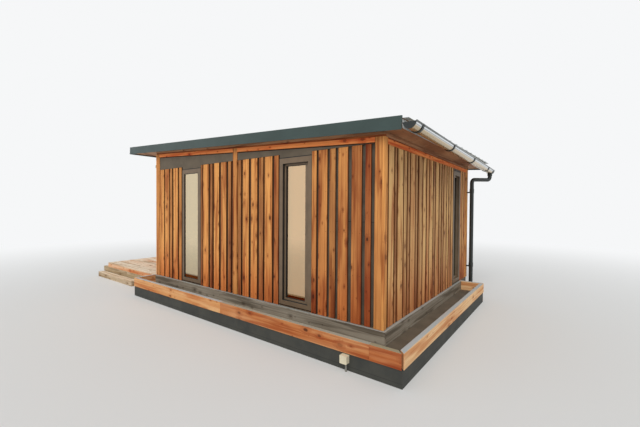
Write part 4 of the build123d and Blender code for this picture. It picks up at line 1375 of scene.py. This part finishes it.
beam_low, beam_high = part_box("deck_beams")
halves = ((beam_low.x, BEAM_JOINT_X - BUTT_GAP), (BEAM_JOINT_X + BUTT_GAP, beam_high.x))
beams = []
for near in (beam_low.y, beam_high.y - BEAM):
    for left, right_end in halves:
        high = (right_end, near + BEAM, beam_high.z)
        beams.append(saw_timber((left, near, beam_low.z), high, ALONG_X, BEAM_KIND))
between = (beam_low.y + BEAM + BUTT_GAP, beam_high.y - BEAM - BUTT_GAP)
for left in (beam_low.x, deck_low.x, (deck_low.x + beam_high.x) / 2, beam_high.x - BEAM):
    low = (left, between[0], beam_low.z)
    beams.append(saw_timber(low, (left + BEAM, between[1], beam_high.z), ALONG_Y, BEAM_KIND))
fit(beams, "deck_beam_planks", deck_finish, "deck_wood", "deck_beams")

# %% Build the steps
STEP_KIND = (0.70, 0.1)
LOW_STEP_DEPTH, LOW_STEP_HEIGHT = 0.300, 0.122

step_low, step_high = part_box("deck_steps")
step_back = step_low.y + LOW_STEP_DEPTH
riser_top = LOW_STEP_HEIGHT - PLANK
tread_low = (beam_low.x + BEAM, between[0], step_high.z - PLANK)
steps = floor_boards(tread_low, (deck_low.x, between[1], step_high.z), ALONG_Y)
tread_low = (step_low.x, step_low.y, riser_top)
steps += floor_boards(tread_low, (step_high.x, step_back, LOW_STEP_HEIGHT), ALONG_X)
for near, low_z in ((step_low.y, step_low.z), (step_back - PLANK, 0.0)):
    low = (step_low.x, near, low_z)
    steps.append(saw_timber(low, (step_high.x, near + PLANK, riser_top), ALONG_X, STEP_KIND))
for left in (step_low.x, step_high.x - PLANK):
    low = (left, step_low.y + PLANK, 0.0)
    steps.append(saw_timber(low, (left + PLANK, step_back - PLANK, riser_top), ALONG_Y, STEP_KIND))
fit(steps, "step_planks", deck_finish, "deck_wood", "deck_steps")

# %% [markdown]
# ## The windows
#
# A window frame is a ring: a plane with a face inset, that face taken out, and the rest extruded
# to its depth. The bars at the side, head and foot differ, so the inner corners are moved after
# the inset. The opening windows have a sash set back in the frame. The reveals are lined with
# black rubber all the way back: partly a seal, and partly painted shade that fills the deep
# reveals. A black gasket shows as a fine line round the glass. Every piece has a little play in
# its opening, so that no two faces lie in one plane.

# %% Choose some corners of a piece
def choose(piece, keep):
    """Opens a piece in edit mode with only those corners selected for which keep says yes."""
    edit(piece)
    bpy.ops.mesh.select_mode(type="VERT")
    bpy.ops.mesh.select_all(action="DESELECT")
    leave_edit()
    for vertex in piece.data.vertices:
        vertex.select = keep(vertex.co)
    bpy.ops.object.mode_set(mode="EDIT")


def lift(piece, keep, height):
    """Lifts the corners of a piece for which keep says yes."""
    choose(piece, keep)
    bpy.ops.transform.translate(value=(0.0, 0.0, height))
    leave_edit()


# %% Model a ring
RING_ARRIS, SHARP = 0.002, math.radians(30)


def model_ring(width, height, bars, depth, arris=RING_ARRIS):
    """A frame round an opening, its face at y = 0. bars are its side, head and foot widths."""
    side, head, foot = bars
    pick()
    bpy.ops.mesh.primitive_plane_add(size=1.0, rotation=(math.pi / 2, 0.0, 0.0))
    ring = bpy.context.object
    bpy.ops.object.transform_apply(location=False, rotation=True, scale=False)
    edit(ring)
    bpy.ops.transform.resize(value=(width, 1.0, height))
    bpy.ops.mesh.inset(thickness=side)
    leave_edit()
    inside = (width - side) / 2
    lift(ring, lambda place: abs(place.x) < inside and place.z > 0, side - head)
    lift(ring, lambda place: abs(place.x) < inside and place.z < 0, foot - side)
    choose(ring, lambda place: abs(place.x) < inside)
    bpy.ops.mesh.delete(type="ONLY_FACE")
    bpy.ops.mesh.select_all(action="SELECT")
    bpy.ops.mesh.extrude_region_move(TRANSFORM_OT_translate={"value": (0.0, depth, 0.0)})
    bpy.ops.mesh.select_all(action="SELECT")
    bpy.ops.mesh.normals_make_consistent()
    bpy.ops.mesh.select_all(action="DESELECT")
    bpy.ops.mesh.edges_select_sharp(sharpness=SHARP)
    bpy.ops.mesh.bevel(offset=min(arris, depth / 4), segments=ARRIS_STEPS)
    leave_edit()
    return ring


def hang(ring, turn, place, setback):
    """Turns a ring to its wall and sets its face back from the place."""
    inward = Vector((-math.sin(turn), math.cos(turn), 0.0))
    place_piece(ring, turn, Vector(place) + inward * setback)
    return ring


# %% Model a block
FIT = 0.0003


def block(width, depth, height, aside=0.0, arris=ARRIS):
    """A block whose front face stands at y 0, with its middle a little aside."""
    low = Vector((aside - width / 2, 0.0, -height / 2))
    return saw_timber(low, low + Vector((width, depth, height)), UPRIGHT, BROWN, arris=arris)


# %% Line and glaze an opening
LINING, LINING_LIP, GASKET_WIDTH, GASKET_DEPTH = 0.0015, 0.004, 0.007, 0.004
frames, sashes, linings, panes = [], [], [], []


def even(width):
    """Bars of one width all round."""
    return (width, width, width)


def line_reveal(turn, place, width, height, start, end):
    """Black rubber along a reveal, from near its arris back to what stands in it: a seal, and painted
    shade in the reveal.
    """
    lining = model_ring(width - 2 * FIT, height - 2 * FIT, even(LINING), end - start - LINING_LIP)
    linings.append(hang(lining, turn, place, start + LINING_LIP))


def glaze(turn, place, width, height, start, glass_face):
    """The lining and the gasket round a pane that fills an opening."""
    line_reveal(turn, place, width, height, start, glass_face - GASKET_DEPTH)
    gasket = model_ring(width - 2 * FIT, height - 2 * FIT, even(GASKET_WIDTH), GASKET_DEPTH - FIT)
    linings.append(hang(gasket, turn, place, glass_face - GASKET_DEPTH))


# %% [markdown]
# The pane is one block of glass that fills the light. On the front and back windows a flat cover
# lies over the right stile, and the rubber runs round what is left of the opening.

# %% Fit a pane and its cover
PANE, PANE_ARRIS = 0.048, 0.001


def fit_light(turn, place, width, height, start, glass_face, cover):
    """The pane, and with a cover its strip on the right stile and the rubber round the rest."""
    pane = block(width - 2 * FIT, PANE, height - 2 * FIT, arris=PANE_ARRIS)
    panes.append(hang(pane, turn, place, glass_face))
    if cover == 0.0:
        return
    strip = block(cover, glass_face - start - FIT, height - 2 * FIT, (width - cover) / 2 - FIT)
    sashes.append(hang(strip, turn, place, start))
    sideways = Vector((math.cos(turn), math.sin(turn), 0.0))
    glaze(turn, place - sideways * cover / 2, width - cover - 2 * FIT, height, start, glass_face)


# %% Fit a window
HEAD_BAR, FOOT_BAR = 0.080, 0.062
CASEMENT_BAR, FIXED_BAR, SASH_BAR = 0.065, 0.060, 0.030
FRAME_DEPTH, SASH_DEPTH, SASH_ARRIS = 0.120, 0.075, 0.004
SASH_SETBACK, SASH_GLASS, FIXED_GLASS = 0.042, 0.063, 0.018
HEAD_JOINT = 0.011

frames_low, frames_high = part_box("window_frames")
window_height = frames_high.z - frames_low.z
window_middle = (frames_high.z + frames_low.z) / 2
face_x, face_y = frames_high.x, frames_high.y
opening_height = window_height - HEAD_BAR - FOOT_BAR
opening_middle = window_middle + (FOOT_BAR - HEAD_BAR) / 2
infill_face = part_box("infill_panels")[1].y


def fit_window(turn, x, y, width, opens, cover):
    """One window: its frame, the joint over its head, a sash where it opens, and the light."""
    side_bar = CASEMENT_BAR if opens else FIXED_BAR
    frame_ring = model_ring(width, window_height, (side_bar, HEAD_BAR, FOOT_BAR), FRAME_DEPTH)
    frames.append(hang(frame_ring, turn, (x, y, window_middle), 0.0))
    joint = block(width - 2 * FIT, face_y - infill_face - FIT, HEAD_JOINT, arris=PANE_ARRIS)
    linings.append(hang(joint, turn, (x, y, frames_high.z + FIT + HEAD_JOINT / 2), 0.0))
    place = Vector((x, y, opening_middle))
    opening = width - 2 * side_bar
    if not opens:
        fit_light(turn, place, opening, opening_height, 0.0, FIXED_GLASS, cover)
        return
    if cover > 0.0:
        line_reveal(turn, place, opening, opening_height, 0.0, SASH_SETBACK)
    sash_size = (opening - 2 * FIT, opening_height - 2 * FIT)
    sash = model_ring(*sash_size, even(SASH_BAR), SASH_DEPTH, SASH_ARRIS)
    sashes.append(hang(sash, turn, place, SASH_SETBACK))
    light_width, light_height = opening - 2 * SASH_BAR, opening_height - 2 * SASH_BAR
    fit_light(turn, place, light_width, light_height, SASH_SETBACK, SASH_GLASS, cover)


# %% Fit the five windows
SIDE_WINDOW_Y, SIDE_WINDOW_WIDTH = 1.206, 0.500
CASEMENT_COVER, FIXED_COVER = 0.050, 0.030

fit_window(0.0, NEAR_WINDOW_X, -face_y, WINDOW_WIDTH, True, CASEMENT_COVER)
fit_window(0.0, FAR_WINDOW_X, -face_y, WINDOW_WIDTH, False, FIXED_COVER)
fit_window(math.pi, NEAR_WINDOW_X, face_y, WINDOW_WIDTH, False, FIXED_COVER)
fit_window(math.pi, FAR_WINDOW_X, face_y, WINDOW_WIDTH, False, FIXED_COVER)
fit_window(math.pi / 2, face_x, SIDE_WINDOW_Y, SIDE_WINDOW_WIDTH, True, 0.0)
print("the infill stands", round(1000 * (face_y - infill_face)), "mm behind the frames")

# %% [markdown]
# The entrance at the deck has a glazed leaf and a fixed light beside it. Its frame, leaf and
# glass are solids of the frame already, so only the rubber is added.

# %% Line the entrance
LEAF_LIGHT_WIDTH, LEAF_LIGHT_HEIGHT, LEAF_LIGHT_FOOT = 0.750, 1.8344, 0.5603
SIDE_LIGHT_WIDTH = 0.3674
LEAF_GLASS, SIDE_GLASS = 0.087, 0.042

panes_low, panes_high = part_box("entrance_glass")
leaf_light = (-face_x, panes_high.y - LEAF_LIGHT_WIDTH / 2, LEAF_LIGHT_FOOT + LEAF_LIGHT_HEIGHT / 2)
glaze(-math.pi / 2, leaf_light, LEAF_LIGHT_WIDTH, LEAF_LIGHT_HEIGHT, SASH_SETBACK, LEAF_GLASS)
side_light = (-face_x, panes_low.y + SIDE_LIGHT_WIDTH / 2, (panes_low.z + panes_high.z) / 2)
glaze(-math.pi / 2, side_light, SIDE_LIGHT_WIDTH, panes_high.z - panes_low.z, 0.0, SIDE_GLASS)

# %% Join the pieces of the windows
fit(frames, "window_surrounds", window_paint, "window_frame", "window_frames")
fit(sashes, "window_casements", window_paint, "window_frame", "window_sashes")
fit(linings, "window_linings", seal_and_reveal_shade_finish, "window_frame")
fit(panes, "window_panes", glass_finish, "window_glass", "window_glass")

# %% [markdown]
# ## Gutter and eave
#
# The gutter is half of a circle drawn out along the eave, with a fall to its outlet. A modifier
# gives it a wall, and a round bead finishes its outer rim. It is shaded smooth, and the long bands
# of sky and ground on it are reflections painted into its zinc.

# %% Draw out a circle
def draw_out(radius, corners, fill, run, keep=None):
    """An upright circle across the house, drawn out along run. keep picks its corners."""
    pick()
    bpy.ops.mesh.primitive_circle_add(
        vertices=corners, radius=radius, fill_type=fill, rotation=(math.pi / 2, 0.0, 0.0)
    )
    piece = bpy.context.object
    bpy.ops.object.transform_apply(location=False, rotation=True, scale=False)
    if keep:
        choose(piece, lambda place: not keep(place))
        bpy.ops.mesh.delete(type="VERT")
        leave_edit()
    edit(piece)
    bpy.ops.mesh.extrude_region_move(TRANSFORM_OT_translate={"value": run})
    bpy.ops.mesh.select_all(action="SELECT")
    bpy.ops.mesh.normals_make_consistent()
    leave_edit()
    return piece


# %% Make a half pipe and shade it smooth
ARC_TOP = 0.0005
SMOOTH_ANGLE = math.radians(40)


def draw_half_pipe(radius, corners, thickness, run):
    """The lower half of a pipe, with a wall. edit and leave_edit make it the active piece."""
    pipe = draw_out(radius, corners, "NOTHING", run, lambda place: place.z < ARC_TOP)
    wall = pipe.modifiers.new("wall", "SOLIDIFY")
    wall.thickness = thickness
    wall.offset = 0.0
    edit(pipe)
    leave_edit()
    bpy.ops.object.modifier_apply(modifier="wall")
    return pipe


def smooth(piece):
    """Shades the round faces of a piece smooth and leaves its corners sharp."""
    edit(piece)
    leave_edit()
    bpy.ops.object.shade_smooth_by_angle(angle=SMOOTH_ANGLE)


# %% Draw out the gutter
GUTTER_RADIUS, GUTTER_WALL = 0.075, 0.003
PIPE_CORNERS, BEAD_CORNERS = 72, 20

gutter_low, gutter_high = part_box("gutter")
gutter_axis = gutter_high.x - 2 * GUTTER_BEAD + GUTTER_WALL - GUTTER_RADIUS
gutter_rim = gutter_high.z - GUTTER_BEAD
gutter_length = gutter_high.y - gutter_low.y
gutter_run = (0.0, gutter_length, -GUTTER_FALL)
half_pipe = draw_half_pipe(GUTTER_RADIUS - GUTTER_WALL / 2, PIPE_CORNERS, GUTTER_WALL, gutter_run)
place_piece(half_pipe, 0.0, (gutter_axis, gutter_low.y, gutter_rim))
rolled = draw_out(GUTTER_BEAD, BEAD_CORNERS, "NGON", gutter_run)
place_piece(rolled, 0.0, (gutter_high.x - GUTTER_BEAD, gutter_low.y, gutter_rim))
smooth(fit([half_pipe, rolled], "gutter_channel", zinc_finish, "gutter_zinc", "gutter"))

# %% [markdown]
# Four dark straps carry the gutter. Each is a half ring round the channel that hooks over its
# bead, and as the gutter falls, each hangs a little lower than the one before.

# %% Strap the gutter
STRAP_WIDTH, STRAP_THICKNESS, STRAP_CLEAR, HOOK_RADIUS = 0.045, 0.004, 0.0045, 0.0125
STRAP_FIRST, STRAP_LAST, STRAPS = 0.217, 0.616, 4
BAND_CORNERS, HOOK_CORNERS = 48, 16

strap_pitch = (gutter_length - STRAP_FIRST - STRAP_LAST) / (STRAPS - 1)
band_radius = GUTTER_RADIUS + STRAP_CLEAR + STRAP_THICKNESS / 2
strap_run = (0.0, STRAP_WIDTH, 0.0)
straps = []
for count in range(STRAPS):
    along = STRAP_FIRST + count * strap_pitch
    strap_rim = gutter_rim - GUTTER_FALL * along / gutter_length
    start = gutter_low.y + along - STRAP_WIDTH / 2
    band = draw_half_pipe(band_radius, BAND_CORNERS, STRAP_THICKNESS, strap_run)
    place_piece(band, 0.0, (gutter_axis, start, strap_rim))
    hook = draw_out(HOOK_RADIUS, HOOK_CORNERS, "NGON", strap_run)
    place_piece(hook, 0.0, (gutter_high.x - HOOK_RADIUS, start, strap_rim))
    straps += [band, hook]
smooth(fit(straps, "gutter_straps", dark_paint, "dark_metal"))

# %% [markdown]
# Behind the gutter a strip of bright sheet covers the eave board and turns out at its foot, so
# that drips fall clear of the timber. The foot is the lower edge of the strip, drawn outwards.

# %% Cover the eave board
FLASHING = 0.0015
DRIP_OUT, DRIP_DOWN = 0.010, 0.012
FLASHING_TOP = 0.009

eave_low, eave_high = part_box("eave_board")
flashing_low = (eave_high.x + FLASHING / 2, eave_low.y, eave_low.z)
flashing_high = (eave_high.x + FLASHING * 1.5, eave_high.y, eave_high.z - FLASHING_TOP)
flashing = stretch_cube(flashing_low, flashing_high)
leave_edit()
choose(flashing, lambda place: place.z < eave_low.z + FLASHING)
bpy.ops.mesh.extrude_region_move(TRANSFORM_OT_translate={"value": (DRIP_OUT, 0.0, -DRIP_DOWN)})
leave_edit()
edit(flashing)
bpy.ops.mesh.normals_make_consistent()
leave_edit()
fit([flashing], "eave_flashing", flashing_finish, "gutter_zinc")
